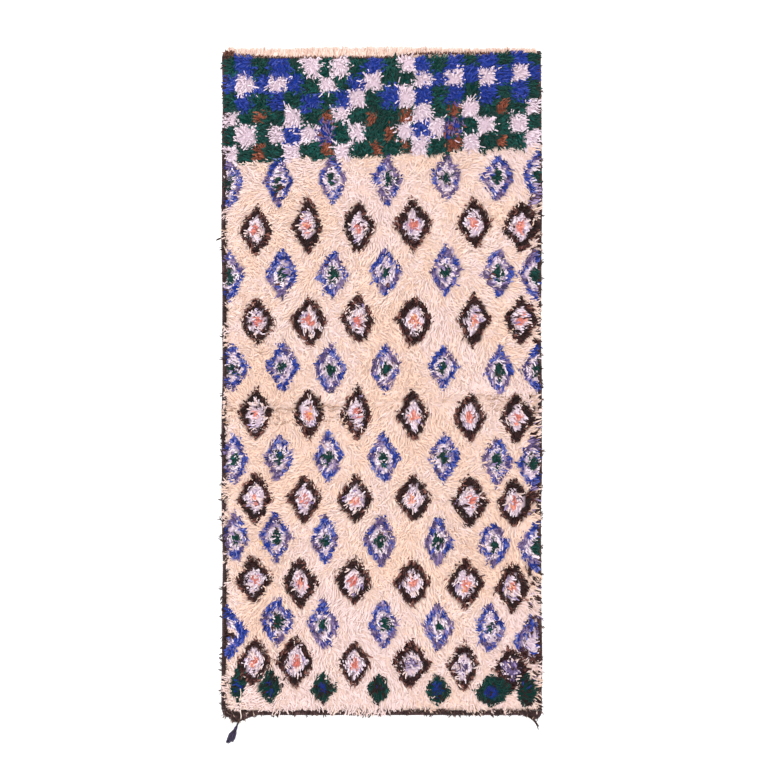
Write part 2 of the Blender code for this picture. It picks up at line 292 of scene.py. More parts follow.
def strandBundle(strands):
    # the middle line at share t is root + aim * reach * t^bow + side * curl * sin(0.85 pi t), rising
    # by rise * (1 - (1 - t)^arch); three points stand round it at each ring, and the tip is a point.
    # The OFBake map gives the yarn's shade across, and the share t from root to tip along.
    stations = np.array(strandShape["stations"])
    profile = np.array(strandShape["profile"])
    count, rings = len(strands["x"]), len(profile)
    aim = np.stack([np.cos(strands["angle"]), np.sin(strands["angle"]), np.zeros(count)], 1)
    side = np.stack([-aim[:, 1], aim[:, 0], np.zeros(count)], 1)
    root = np.stack([strands["x"], strands["y"], strands["z"]], 1)
    t = stations[None, :, None]
    out = strands["reach"][:, None, None] * t ** strandShape["bow"]
    swing = (strands["curl"] * strands["reach"])[:, None, None] * np.sin(0.85 * math.pi * t)
    middle = root[:, None, :] + aim[:, None, :] * out + side[:, None, :] * swing
    middle[..., 2] += strands["rise"][:, None] * (1.0 - (1.0 - stations) ** strandShape["arch"])
    middle[..., 2] = np.maximum(middle[..., 2], 0.0006)
    tangent = np.gradient(middle, axis=1)
    tangent /= np.linalg.norm(tangent, axis=2, keepdims=True)
    upward = np.cross(tangent, side[:, None, :])
    turn = strands["turn"][:, None] + math.tau * np.arange(3) / 3.0
    radius = strands["girth"][:, None, None, None] * profile[None, :, None, None]
    ringSide = side[:, None, None, :] * np.cos(turn)[:, None, :, None]
    ringUp = strandShape["flatness"] * upward[:, :rings, None, :] * np.sin(turn)[:, None, :, None]
    around = middle[:, :rings, None, :] + radius * (ringSide + ringUp)
    around = np.maximum(around, [-9.0, -9.0, 0.0004])
    points = np.concatenate([around.reshape(count, rings * 3, 3), middle[:, -1:, :]], 1)

    k = np.arange(3)
    nextK = (k + 1) % 3
    walls = np.concatenate([np.stack([r * 3 + k, r * 3 + nextK, r * 3 + 3 + nextK, r * 3 + 3 + k], 1)
                            for r in range(rings - 1)])
    last = (rings - 1) * 3
    ends = np.concatenate([np.stack([last + k, last + nextK, np.full(3, rings * 3)], 1), [[2, 1, 0]]])
    base = (np.arange(count) * (rings * 3 + 1))[:, None, None]
    faces = [(base + walls).reshape(-1, 4), (base + ends).reshape(-1, 3)]

    half = strandShape["uvHalfWidth"]
    u = np.concatenate([np.tile([-half, 0.0, half], rings), [0.0]])
    v = 0.02 + 0.96 * np.concatenate([np.repeat(stations[:rings], 3), [1.0]])
    v[1] -= 0.006  # so that the root's face has some width on the map
    pointU = (0.02 + 0.96 * strands["shade"])[:, None] + u[None, :]
    cornerU = [pointU[:, part.ravel()].reshape(-1) for part in (walls, ends)]
    cornerV = [np.tile(v[part.ravel()], count) for part in (walls, ends)]
    uv = np.stack([np.concatenate(cornerU), np.concatenate(cornerV)], 1)
    return points.reshape(-1, 3), faces, np.clip(uv, 0.0, 1.0)


def smoothLine(points, count):
    # a Catmull-Rom curve: between two points, the cubic whose slope at each is half the step
    # between its neighbours
    points = np.asarray(points, float)
    padded = np.concatenate([2 * points[:1] - points[1:2], points, 2 * points[-1:] - points[-2:-1]])
    place = np.linspace(0.0, len(points) - 1.0, count)
    i = np.minimum(place.astype(int), len(points) - 2)
    t = (place - i)[:, None]
    p0, p1, p2, p3 = padded[i], padded[i + 1], padded[i + 2], padded[i + 3]
    return 0.5 * (2 * p1 + (p2 - p0) * t + (2 * p0 - 5 * p1 + 4 * p2 - p3) * t**2
                  + (3 * p1 - p0 - 3 * p2 + p3) * t**3)


def addTubes(name, lines, material, sides=6, lobes=0, twist=0.0):
    # each line is its points, its radii and its shade; a ring of corners stands square to it at
    # every point, and lobes swell the ring by cos(lobes * angle - twist * length)
    points, quads, caps, cornerUV, capUV = [], [], [], [], []
    k = np.arange(sides)
    base = 0
    for line, radii, shade in lines:
        rings = len(line)
        tangent = np.gradient(line, axis=0)
        tangent /= np.linalg.norm(tangent, axis=1, keepdims=True)
        sideways = np.cross([0.0, 0.0, 1.0], tangent)
        sideways /= np.linalg.norm(sideways, axis=1, keepdims=True)
        upward = np.cross(tangent, sideways)
        length = np.concatenate([[0.0], np.cumsum(np.linalg.norm(np.diff(line, axis=0), axis=1))])
        angle = math.tau * k / sides
        swell = 1.0 + (0.16 * np.cos(lobes * angle[None, :] - twist * length[:, None]) if lobes else 0.0)
        radius = (np.asarray(radii)[:, None] * swell)[..., None]
        ring = line[:, None, :] + radius * (sideways[:, None, :] * np.cos(angle)[None, :, None]
                                            + upward[:, None, :] * np.sin(angle)[None, :, None])
        points.append(np.maximum(ring, [-9.0, -9.0, 0.0003]).reshape(-1, 3))
        quads.append(gridFaces(rings, sides, closed=True) + base)
        caps.append(np.stack([k[::-1] + base, k + base + (rings - 1) * sides]))
        u = 0.02 + 0.96 * shade + 2 * strandShape["uvHalfWidth"] * (k / sides - 0.5)
        v = 0.03 + 0.94 * length / length[-1]
        flat = np.stack(np.broadcast_arrays(u[None, :], v[:, None]), -1).reshape(-1, 2)
        cornerUV.append(flat[quads[-1].ravel() - base])
        small = 0.008 * np.stack([np.cos(angle), np.sin(angle)], 1)
        start, end = [0.02 + 0.96 * shade, 0.012], [0.02 + 0.96 * shade, 0.988]
        capUV.append(np.concatenate([small[::-1] + start, small + end]))
        base += rings * sides
    uv = np.clip(np.concatenate(cornerUV + capUV), 0.0, 1.0)
    return addMesh(name, np.concatenate(points), [np.concatenate(quads), np.concatenate(caps)],
                   material, uv)


def addStrands(name, strands, material):
    # one piece that holds all these strands
    points, faces, uv = strandBundle(strands)
    return addMesh(name, points, faces, material, uv)


# Materials

def pileWool(name, tones, rootShadeTone="#A8A4A2", sheen=0.06):
    # Handspun two-ply wool, washed and piece-dyed, its cut ends open. The eye gets a matt thread with soft
    # edges, from yarn to yarn unevenly dyed, and painted shade darkens it towards its root, deep in the
    # pile.
    # Everything is read from the strand's own map: shade across, root to tip along.
    material, tree = newMaterial(name)
    strandMap = addNode(tree, "UVMap", {"uv_map": "OFBake"})
    parts = addNode(tree, "SeparateXYZ", links={0: strandMap})
    across, along = parts.outputs[0], parts.outputs[1]
    tone = addNode(tree, "ValToRGB", {"stops": tones}, {0: across})
    # painted shade: the strand darkens towards its root, to the root tone, where it lies deep in the pile
    rootShadeStops = [(0.0, rootShadeTone), (0.40, "#FCFAF8"), (0.75, "#FFFFFF")]
    depth = addNode(tree, "ValToRGB", {"stops": rootShadeStops}, {0: along})
    # a 4 mm twist of the plies, drawn on a 25 mm strand as six turns along the map
    turns = addNode(tree, "Math", {"operation": "MULTIPLY", 1: 42.0}, {0: across})
    twist = addNode(tree, "Math", {"operation": "MULTIPLY_ADD", 1: 6.0}, {0: along, 2: turns})
    angle = addNode(tree, "Math", {"operation": "MULTIPLY", 1: math.tau}, {0: twist})
    ply = addNode(tree, "Math", {"operation": "SINE"}, {0: angle})
    stretch = addNode(tree, "Mapping", {"Scale": (900.0, 26.0, 1.0)}, {"Vector": strandMap})
    fibres = addNode(tree, "TexNoise", {"Scale": 1.0, "Detail": 2.0}, {"Vector": stretch})
    plyShade = addNode(tree, "MapRange",
                       {"From Min": -1.0, "From Max": 1.0, "To Min": 0.96, "To Max": 1.01}, {"Value": ply})
    fibreShade = addNode(tree, "MapRange",
                         {"From Min": 0.3, "From Max": 0.7, "To Min": 0.95, "To Max": 1.03},
                         {"Value": fibres})
    grain = addNode(tree, "Math", {"operation": "MULTIPLY"}, {0: plyShade, 1: fibreShade})
    # the yarn's tone with the painted root shade
    deep = addNode(tree, "Mix", multiply, {6: tone, 7: depth})
    colour = addNode(tree, "Mix", multiply, {6: deep.outputs[2], 7: grain})
    relief = addNode(tree, "Math", {"operation": "ADD"}, {0: ply, 1: fibres})
    sockets = {"Roughness": 0.92, "Specular IOR Level": 0.12, "Sheen Weight": sheen, "Sheen Roughness": 0.55}
    return finishMaterial(material, sockets, colour, relief, 0.25, 0.0003)


yarns = {  # each yarn's tones, from its darkest strand to its lightest
    # the darkest cream and rosy_cream tones serve the painted shade along the crease, and random darker
    # specks
    "cream": [(0.0, "#CDAE9E"), (0.35, "#E3C6BA"), (0.70, "#E5CABF"), (1.0, "#E7CDC3")],
    # the darkest warm_cream tone is painted shade for the opened rows by the crease
    "warm_cream": [(0.0, "#9E7A64"), (0.35, "#E4C1AE"), (0.70, "#E6C4B2"), (1.0, "#E9C9B9")],
    "rosy_cream": [(0.0, "#CDB0AA"), (0.35, "#E2C6C2"), (0.70, "#E4CAC7"), (1.0, "#E6CECC")],
    "pink_white": [(0.0, "#AF97A4"), (0.30, "#D3BCCA"), (0.70, "#E3D1DC"), (1.0, "#F1E5ED")],
    "blue": [(0.0, "#081A60"), (0.35, "#1A348F"), (0.65, "#3B4A9F"), (1.0, "#8083BC")],
    "violet": [(0.0, "#382D4C"), (0.35, "#63517F"), (0.70, "#8E7AA4"), (1.0, "#BEABCC")],
    "green": [(0.0, "#011E1A"), (0.35, "#02352F"), (0.70, "#0A514B"), (1.0, "#2F7070")],
    "brown": [(0.0, "#180607"), (0.35, "#2A0F0F"), (0.70, "#4A2422"), (1.0, "#8A5A50")],
    "rust": [(0.0, "#5A2A20"), (0.35, "#7C402E"), (0.70, "#9E5A42"), (1.0, "#BC7C60")],
    "coral": [(0.0, "#B84F42"), (0.40, "#D67B6C"), (0.75, "#EBA093"), (1.0, "#E0983F")],
}
yarnNames = list(yarns)
cream, warmCream, rosyCream, pinkWhite, blue, violet, green, brown, rust, coral = range(10)


# The pattern, as knots of yarn: six rows of checks below the heading, then rows of lozenges,
# blue-edged and brown-edged in turn, and one row of small green lozenges at the end

checks = {
    "columns": 20,
    "rows": 6,
    "topLine": ((-0.56, 0.0, 0.56), (1.133, 1.137, 1.172)),  # the first row's upper line
    "bottomLine": ((-0.56, 0.0, 0.56), (0.768, 0.793, 0.828)),  # the last row's lower line
    "wobble": 0.16,  # of a check
    "rustHalf": (0.28, 0.35),  # the rust tufts are narrower and lower than their checks
    "mixed": ((0.25, 0.50, 0.75, 1.0), (violet, blue, rust, violet)),  # in place of plain violet
    "shades": (0.50, 0.36),  # of the pink-white checks, and of the others
}

# Three repeats of four checks by six, knotted side by side in the order below
checkYarn = {"G": green, "B": blue, "P": pinkWhite, "R": rust, "V": violet}
checkRepeats = (
    ("GBGB", "BPBP", "GBGB", "PGRG", "GPGP", "PGRG"),
    ("GPGP", "BGPG", "GBGB", "PGRP", "BPVG", "PGRP"),
    ("GBGP", "BPGG", "PGBP", "GRGR", "PGRP", "GRGR"),
)
# for the upper three rows and the lower three: the repeats in order, and which are mirrored
checkOrder = (((0, False), (1, False), (2, False), (0, True), (0, True)),
              ((0, False), (1, False), (2, False), (1, False), (0, True)))

lozenges = {
    # each row: its edge yarn and the height of its middle along the rug
    "rows": (("blue", 0.712), ("brown", 0.549), ("blue", 0.385), ("brown", 0.220),
             ("blue", 0.053), ("brown", -0.114), ("blue", -0.267), ("brown", -0.407),
             ("blue", -0.551), ("brown", -0.700), ("blue", -0.848), ("brown", -0.987)),
    # each lane of lozenges: where it is across at the first row and the last, and its bulge between
    "blueLanes": ((-0.524, -0.514, 0.0), (-0.360, -0.374, 0.020), (-0.167, -0.209, 0.004),
                  (0.015, 0.004, 0.0), (0.225, 0.197, 0.004), (0.403, 0.372, 0.018),
                  (0.543, 0.510, 0.0)),
    "brownLanes": ((-0.437, -0.451, 0.0), (-0.258, -0.300, 0.018), (-0.080, -0.101, 0.002),
                   (0.113, 0.099, 0.006), (0.330, 0.286, 0.004), (0.489, 0.445, 0.008)),
    "firstTilt": 0.031,  # how much higher a row's right end is than its left
    "lastTilt": -0.025,
    "rightDrop": 0.015,  # how much lower the rows between lie by the right edge
    "halfWidth": {"blue": 0.0545, "brown": 0.0636},
    "halfHeight": {"blue": 0.0885, "brown": 0.0905},
    "corner": 1.15,  # 1 gives straight sides, and more rounds them out
    "heart": {"blue": 0.34, "brown": 0.26},
    "edge": {"blue": 0.64, "brown": 0.585},
    # a mix of yarns is the share up to which each is drawn, and the yarns
    "fill": {"blue": ((0.68, 0.86, 0.91, 1.0), (pinkWhite, violet, brown, blue)),
             "brown": ((0.62, 0.82, 0.93, 1.0), (pinkWhite, rosyCream, brown, violet))},
    "fillShades": {"blue": (0.70, 0.62), "brown": (0.80, 0.56)},  # of violet, and of the others
    "blueHeart": ((0.92, 1.0), (green, pinkWhite)),
    "plainHeart": ((0.50, 1.0), (brown, cream)),
    "patch": 0.026,  # the size of the patches of one tone in an outline
    "ragged": (0.020, 0.09, 0.025),  # the size of the notches in an outline, their depth, and its strays
    "jitter": (0.004, 0.005),  # of each lozenge's place, across and along
    "widths": (0.90, 1.08),
    "heights": (0.94, 1.05),
    "heartShades": (0.15, 0.80),
    # by row and lane: how far a lozenge strays across and along, and its width and height in shares
    "strays": {(10, 0): (-0.026, -0.034, 1.40, 1.10), (10, 6): (0.014, -0.040, 1.15, 0.95),
               (11, 5): (0.006, -0.010, 1.05, 0.95), (8, 6): (0.022, 0.0, 1.0, 1.0),
               (0, 0): (-0.010, 0.0, 1.0, 1.0), (2, 0): (-0.014, 0.0, 1.0, 1.0),
               (4, 6): (0.016, 0.0, 1.0, 1.0), (6, 6): (0.010, 0.0, 1.0, 1.0),
               (1, 0): (0.0, -0.016, 1.0, 1.0), (6, 1): (-0.016, 0.0, 1.0, 1.0),
               (8, 1): (-0.018, 0.0, 1.0, 1.0), (8, 3): (-0.012, 0.0, 1.0, 1.0),
               (8, 4): (-0.012, 0.0, 1.0, 1.0)},
    "plainFirst": (10, 0),  # wholly blue, and dark at its heart
    "brownFlank": (10, 6),  # blue only on its upper left
    "seed": 5,
}

greenLozenges = {
    "y": -1.075,
    # middle, half width, half height and the share of blue in its heart
    "heart": 0.42,
    "across": ((-0.503, 0.029, 0.072, 0.50), (-0.391, 0.043, 0.060, 0.22), (-0.206, 0.046, 0.058, 0.34),
               (-0.011, 0.042, 0.056, 0.30), (0.197, 0.045, 0.058, 0.58), (0.387, 0.066, 0.060, 0.60),
               (0.506, 0.041, 0.066, 0.30)),
}


# dark ends by the right edge
flecks = {"from": 0.511, "spacing": 0.013, "above": 0.24, "mix": ((0.8, 1.0), (brown, violet))}


def drawYarn(spot, mix):
    # the yarn of the mix in whose share each random number lies
    return np.array(mix[1])[np.searchsorted(mix[0], spot, side="right")]


def lozengeShare(x, y, centre, half, corner):
    # 0 at the middle and 1 on the outline: ((|dx| / half width)^p + (|dy| / half height)^p)^(1/p)
    across, along = np.abs(x - centre[0]) / half[0], np.abs(y - centre[1]) / half[1]
    return (across**corner + along**corner) ** (1.0 / corner)


def knotPattern(x, y, even=False):
    # gives each knot its yarn, how far along the yarn's tones it lies, and the middle of its motif;
    # even leaves out the odd knots of another colour
    chance = np.random.default_rng(lozenges["seed"])
    layout = np.random.default_rng(lozenges["seed"] + 1)  # the same lozenges for any places
    count = len(x)
    yarn = np.zeros(count, int)
    shade = np.full(count, 0.55)
    motif = np.zeros(count, int)  # 0 ground, 1 check, 2 lozenge edge, 3 inside a lozenge
    middleX, middleY = x.copy(), y.copy()
    spot = np.full(count, 0.3) if even else chance.random(count)
    patch = smoothNoise(x, y, lozenges["patch"], 71)
    notch, notchDepth, strayDepth = lozenges["ragged"]
    ragged = notchDepth * smoothNoise(x, y, notch, 72) + strayDepth * chance.uniform(-1.0, 1.0, count)
    jitterX, jitterY = lozenges["jitter"]

    lanesFrom, lanesTo = lozenges["rows"][0][1], lozenges["rows"][-1][1]
    for order, (edge, rowY) in enumerate(lozenges["rows"]):
        down = (lanesFrom - rowY) / (lanesFrom - lanesTo)
        tilt = lozenges["firstTilt"] + down * (lozenges["lastTilt"] - lozenges["firstTilt"])
        for lane, (first, last, bulge) in enumerate(lozenges[edge + "Lanes"]):
            stray = lozenges["strays"].get((order, lane), (0.0, 0.0, 1.0, 1.0))
            centreX = first + down * (last - first) + bulge * 4.0 * down * (1.0 - down)
            centreX += layout.uniform(-jitterX, jitterX) + stray[0]
            centreY = rowY + tilt * centreX / plan["width"] + layout.uniform(-jitterY, jitterY) + stray[1]
            inner = smoothStep(0.0, 0.1, down) * smoothStep(1.0, 0.9, down)
            centreY -= lozenges["rightDrop"] * smoothStep(0.25, 0.45, centreX) * inner
            half = (lozenges["halfWidth"][edge] * layout.uniform(*lozenges["widths"]) * stray[2],
                    lozenges["halfHeight"][edge] * layout.uniform(*lozenges["heights"]) * stray[3])
            heartShade = layout.uniform(*lozenges["heartShades"])
            share = lozengeShare(x, y, (centreX, centreY), half, lozenges["corner"]) + ragged
            inside = share < 1.0
            ring = inside & (share > lozenges["edge"][edge])
            heart = share < lozenges["heart"][edge]
            fill = inside & ~ring & ~heart
            motif[inside], motif[ring] = 3, 2
            middleX[inside], middleY[inside] = centreX, centreY
            yarn[fill] = drawYarn(spot[fill], lozenges["fill"][edge])
            shade[fill] = np.where(yarn[fill] == violet, *lozenges["fillShades"][edge])
            if edge == "blue":
                yarn[ring] = np.where(patch[ring] + 0.5 * spot[ring] > 0.10, blue, violet)
                shade[ring] = np.where(spot[ring] > 0.66, 0.14, 0.60 + 0.32 * patch[ring])
                yarn[heart] = drawYarn(spot[heart], lozenges["blueHeart"])
                shade[heart] = 0.30
                if (order, lane) == lozenges["plainFirst"]:
                    ring = inside & (share > 0.52)
                    yarn[ring], shade[ring] = blue, 0.38
                    yarn[heart] = drawYarn(spot[heart], lozenges["plainHeart"])
                if (order, lane) == lozenges["brownFlank"]:
                    flank = ring & ((x - centreX) * 0.8 > (y - centreY) * 0.5 - 0.016)
                    yarn[flank], shade[flank] = brown, 0.55
                    yarn[heart], shade[heart] = pinkWhite, 0.5
                    yarn[(fill | heart) & (spot < 0.22)] = brown
            else:
                yarn[ring] = brown
                shade[ring] = 0.24 + 0.2 * patch[ring] + np.where(share[ring] > 0.86, 0.52, 0.0)
                lilacHeart = rowY < -0.95 and centreX > 0.05
                if lilacHeart and lane > 4:
                    yarn[fill & (spot < 0.40)] = violet
                    yarn[fill & (spot < 0.12)] = brown
                yarn[heart] = np.where(spot[heart] < 0.25, pinkWhite, violet if lilacHeart else coral)
                shade[heart] = heartShade

    for centreX, halfWidth, halfHeight, blueShare in greenLozenges["across"]:
        centre = (centreX, greenLozenges["y"] + lozenges["lastTilt"] * centreX / plan["width"])
        share = lozengeShare(x, y, centre, (halfWidth, halfHeight), lozenges["corner"]) + ragged
        inside = share < 1.0
        yarn[inside] = np.where(spot[inside] < 0.66 + 0.34 * blueShare, green, brown)
        heart = share < greenLozenges["heart"]
        yarn[heart] = drawYarn(spot[heart], ((blueShare, 0.7, 1.0), (blue, green, brown)))
        shade[inside] = np.where(yarn[inside] == brown, 0.0, 0.16)
        shade[heart] = np.where(yarn[heart] == brown, 0.0, 0.04)
        motif[inside] = 2
        middleX[inside], middleY[inside] = centre

    flecked = smoothNoise(x, y, flecks["spacing"], 75) > flecks["above"]
    flecked &= (motif == 0) & (x > flecks["from"])
    yarn[flecked] = drawYarn(spot[flecked], flecks["mix"])
    shade[flecked] = 0.4 + 0.4 * spot[flecked]

    top = np.interp(x, *checks["topLine"])
    bottom = np.interp(x, *checks["bottomLine"])
    wobble = checks["wobble"]
    row = (top - y) / (top - bottom) * checks["rows"] + wobble * smoothNoise(x, y, 0.045, 73)
    column = (x + plan["width"] / 2) / plan["width"] * checks["columns"]
    column = column + wobble * smoothNoise(x, y, 0.045, 74)
    inBand = row < checks["rows"]
    rowIndex = np.clip(np.floor(row).astype(int), 0, checks["rows"] - 1)
    columnIndex = np.clip(np.floor(column).astype(int), 0, checks["columns"] - 1)
    blocks = np.array([[[checkYarn[c] for c in line] for line in block] for block in checkRepeats])
    upper, lower = [np.concatenate([blocks[order][:, ::-1 if mirrored else 1]
                                    for order, mirrored in half], axis=1) for half in checkOrder]
    chart = np.concatenate([upper[:3], lower[3:]])
    chosen = chart[rowIndex, columnIndex]
    besideRust = np.abs(column - np.floor(column) - 0.5) > checks["rustHalf"][0]
    besideRust |= np.abs(row - np.floor(row) - 0.5) > checks["rustHalf"][1]
    chosen[(chosen == rust) & besideRust] = green
    mixed = (chosen == violet) & inBand
    chosen[mixed] = drawYarn(spot[mixed], checks["mixed"])
    yarn[inBand] = chosen[inBand]
    motif[inBand] = 1
    shade[inBand] = np.where(chosen[inBand] == pinkWhite, *checks["shades"])
    pitchX = plan["width"] / checks["columns"]
    middleX[inBand] = (-plan["width"] / 2 + (columnIndex + 0.5) * pitchX)[inBand]
    middleY[inBand] = (top - (rowIndex + 0.5) / checks["rows"] * (top - bottom))[inBand]
    return yarn, shade, motif, middleX, middleY


# The pile's lie and height

def pileOver(x):
    # how far the pile lies over the heading: a little at the left, and to a level line at the right
    level = smoothStep(0.02, 0.14, x) * (pile["overTo"] - headingInner(x))
    left, right = pile["overBySides"]
    return level + left * smoothStep(-0.36, -0.50, x) + right * smoothStep(0.38, 0.50, x)


pile = {
    "knotAcross": 0.0110,  # from knot to knot
    "knotAlong": 0.0100,
    "groundEnds": 1.91,  # mean yarn ends that show from a knot
    "motifEnds": 2.5,
    "outerEnds": 1.4,  # added to the outermost knots
    "spread": 0.0050,  # how far the ends of a knot stand from its middle
    "height": 0.0255,
    "lump": 0.0042,
    "lumpSpacing": (0.060, 0.028),  # of the lumps, and of smaller ones half as high
    "rimHeight": 0.0120,
    "shoulder": 0.042,
    "creaseY": -0.078,
    "creaseDepth": 0.0045,
    "creaseHalfWidth": 0.030,
    "creaseWander": 0.012,
    "creaseRise": 0.036,  # how much higher the opened rows lie at the right than at the left
    "openedRows": (0.010, -0.004, -0.026, -0.040),  # from the crease: rows of knots seen open
    "openedHalf": 0.0030,
    "groundReach": (0.020, 0.036),
    "checkReach": (0.014, 0.025),
    "starReach": (0.012, 0.022),  # the pink-white checks, whose ends splay like a star
    "edgeReach": (0.012, 0.022),
    "fillReach": (0.014, 0.025),
    "overhang": 0.0042,  # how far an end may reach beyond a side edge
    "overTo": 1.151,  # the level line that it lies to over the heading, at the right
    "overBySides": (0.009, 0.014),  # how much further by the left side and the right
    "outward": 0.55,  # lean at the sides
    "downward": (0.10, 0.55),  # lean towards the end, and what the way down adds
    "partedHalf": 0.045,  # how far from the crease it leans away from it
    "partedLean": 0.9,
    "lockSwing": 0.75,
    "lockSpacing": (0.150, 0.038),  # of slow and quick turns in its lean
    "knotSwing": 0.28,  # the strays of a knot's lean, and of an end's
    "endSwing": 0.32,
    "jitter": 0.0022,
    "splay": {"star": 0.6, "check": 0.15, "edge": 0.30},  # how far ends lean from a motif's middle
    # how far from an edge the ends begin to hang over it
    "hangFrom": {"left": 0.045, "right": 0.055, "bottom": 0.040, "top": 0.035},
    "overlap": 0.48,  # the share kept of an end that would lie over another colour
    "seed": 17,
}


def creaseLine(x):
    # how far along the fold lies: level, with one slow wave over the width
    return pile["creaseY"] + pile["creaseWander"] * np.sin(math.tau * x / plan["width"])


def pileTop(x, y):
    # the mean height plus two sizes of lump, less the crease, falling to the rim over the shoulder
    wide, narrow = pile["lumpSpacing"]
    lump = smoothNoise(x, y, wide, 81) + 0.5 * smoothNoise(x, y, narrow, 82)
    crease = np.maximum(0.0, 1.0 - np.abs(y - creaseLine(x)) / pile["creaseHalfWidth"])
    full = pile["height"] + pile["lump"] * lump - pile["creaseDepth"] * crease
    rise = np.sqrt(smoothStep(0.0, pile["shoulder"], fromRim(x, y)))
    return pile["rimHeight"] + (full - pile["rimHeight"]) * rise


def pileLie(x, y):
    # the way the pile leans: outwards and towards the end of the rug, parted at the crease,
    # plus slow and quick noise, so that it runs in short locks
    down = downShare(y)
    lieX = pile["outward"] * x / 0.56
    lieY = -(pile["downward"][0] + pile["downward"][1] * down)
    fromCrease = y - creaseLine(x)
    parted = np.exp(-(fromCrease / pile["partedHalf"]) ** 2)
    lieY = lieY * (1.0 - parted) + pile["partedLean"] * parted * np.tanh(fromCrease / 0.012)
    for index, spacing in enumerate(pile["lockSpacing"]):
        lieX = lieX + pile["lockSwing"] * smoothNoise(x, y, spacing, 91 + index)
        lieY = lieY + pile["lockSwing"] * smoothNoise(x, y, spacing, 93 + index)
    return lieX, lieY


def growPile():
    # knots stand in rows; each has its ends round it, leaning with the pile and with their motif
    chance = np.random.default_rng(pile["seed"])
    columns = round((plan["width"] - 2 * plan["selvedgeWidth"]) / pile["knotAcross"])
    rows = round((plan["length"] - plan["endBandDepth"] - plan["headingDepth"]) / pile["knotAlong"])
    shares = np.meshgrid((np.arange(columns) + 0.5) / columns, (np.arange(rows) + 0.5) / rows)
    x, y = fieldPlace(shares[0].ravel(), shares[1].ravel())
    y = y + 0.003 * smoothNoise(x, y, 0.2, 95)
    x, y = [values + chance.uniform(-pile["jitter"], pile["jitter"], len(x)) for values in (x, y)]

    lieX, lieY = pileLie(x, y)
    down = downShare(y)
    yarn, shade, motif, middleX, middleY = knotPattern(x + 0.004 * x / 0.56, y - 0.007 * down)

    # motifs splay from their middles, the stars most of all
    outX, outY = x - middleX, y - middleY
    away = np.hypot(outX, outY) + 1e-6
    star = (motif == 1) & (yarn == pinkWhite)
    splay = np.select([star, motif == 1, motif == 2], list(pile["splay"].values()), 0.0)
    calm = np.where(star, 0.7, 1.0)
    lieX = calm * lieX + splay * outX / away
    lieY = calm * lieY + splay * outY / away

    # the ends by an edge hang over it
    hang = pile["hangFrom"]
    toLeft = smoothStep(hang["left"], 0.0, x - fieldLeft(y))
    toRight = smoothStep(hang["right"], 0.0, fieldRight(y) - x)
    toBottom = smoothStep(hang["bottom"], 0.0, y - fieldBottom)
    toTop = smoothStep(hang["top"], 0.0, headingInner(x) - y)
    inChecks = smoothStep(0.74, 0.80, y)
    bunched = smoothNoise(0.0 * y, y, 0.026, 62)  # by the sides it lies over in bunches
    outline = motif == 2  # the outlines that run off the field lie right over the bands
    lieX = lieX - toLeft * (-0.6 - 0.9 * down + 1.9 * bunched + 2.4 * inChecks + 2.2 * outline)
    lieX = lieX + toRight * (0.5 + 1.2 * bunched + 1.9 * inChecks + 1.0 * outline)
    hanging = smoothNoise(x, 0.0 * x, 0.024, 63)
    lieY = lieY - toBottom * (-0.7 + (1.5 + 1.4 * x) * hanging) + toTop * (pileOver(x) / 0.006 - 0.8)
    lieX, lieY = [lie + chance.normal(0.0, pile["knotSwing"], len(x)) for lie in (lieX, lieY)]

    # one row for each end of each knot; the outer knots have more ends, and shorter
    outer = smoothStep(0.012, 0.006, fromRim(x, y))
    mean = np.where(motif > 0, pile["motifEnds"], pile["groundEnds"]) + pile["outerEnds"] * outer
    ends = np.floor(mean + chance.random(len(x))).astype(int)
    many = ends.sum()
    repeat = lambda values: np.repeat(values, ends)
    lieX, lieY = [repeat(lie) + chance.normal(0.0, pile["endSwing"], many) for lie in (lieX, lieY)]
    around = chance.uniform(0.0, math.tau, many)
    stray = pile["spread"] * np.sqrt(chance.random(many))
    rootX, rootY = repeat(x) + stray * np.cos(around), repeat(y) + stray * np.sin(around)
    yarn, motif, star = repeat(yarn), repeat(motif), repeat(star)

    kinds = [star, motif == 1, motif == 2, motif == 3]
    reaches = zip(*[pile[key + "Reach"] for key in ("star", "check", "edge", "fill")])
    low, high = [np.select(kinds, ends, ground) for ends, ground in zip(reaches, pile["groundReach"])]
    reach = low + (high - low) * chance.beta(1.5, 1.5, many)
    reach = reach * np.clip(0.45 + 0.75 * np.hypot(lieX, lieY), 0.6, 1.1)
    reach = reach * (1.0 - 0.5 * repeat(outer) * chance.random(many))
    angle = np.arctan2(lieY, lieX)

    # most ends that would lie over another colour are shorter, which keeps the motifs clear
    tipYarn = knotPattern(rootX + 0.8 * reach * np.cos(angle), rootY + 0.8 * reach * np.sin(angle))[0]
    pale = np.isin(tipYarn, (cream, pinkWhite)) == np.isin(yarn, (cream, pinkWhite))
    long = star & (chance.random(many) < 0.11)
    reach = np.where(long, 1.55 * reach, reach)
    over = ~pale & ~long & (chance.random(many) < np.where(motif == 1, 0.80, 0.93))
    reach = np.where(over, pile["overlap"] * reach, reach)
    run = np.cos(angle)
    room = np.where(run > 0.0, rightEdge(rootY) - rootX, rootX - leftEdge(rootY)) + pile["overhang"]
    room = room / np.maximum(np.abs(run), 0.05) + chance.uniform(-0.0020, 0.0020, many)
    reach = np.clip(reach, 0.004, np.maximum(room, 0.004))
    tipX, tipY = rootX + reach * np.cos(angle), rootY + reach * np.sin(angle)
    rootZ = bedTop(rootX, rootY) - 0.0010
    share = chance.uniform(0.58, 1.00, many)
    rise = (pileTop(tipX, tipY) - rootZ) * share + np.where(motif > 0, 0.0020, 0.0)
    rise = np.maximum(rise, 0.001)

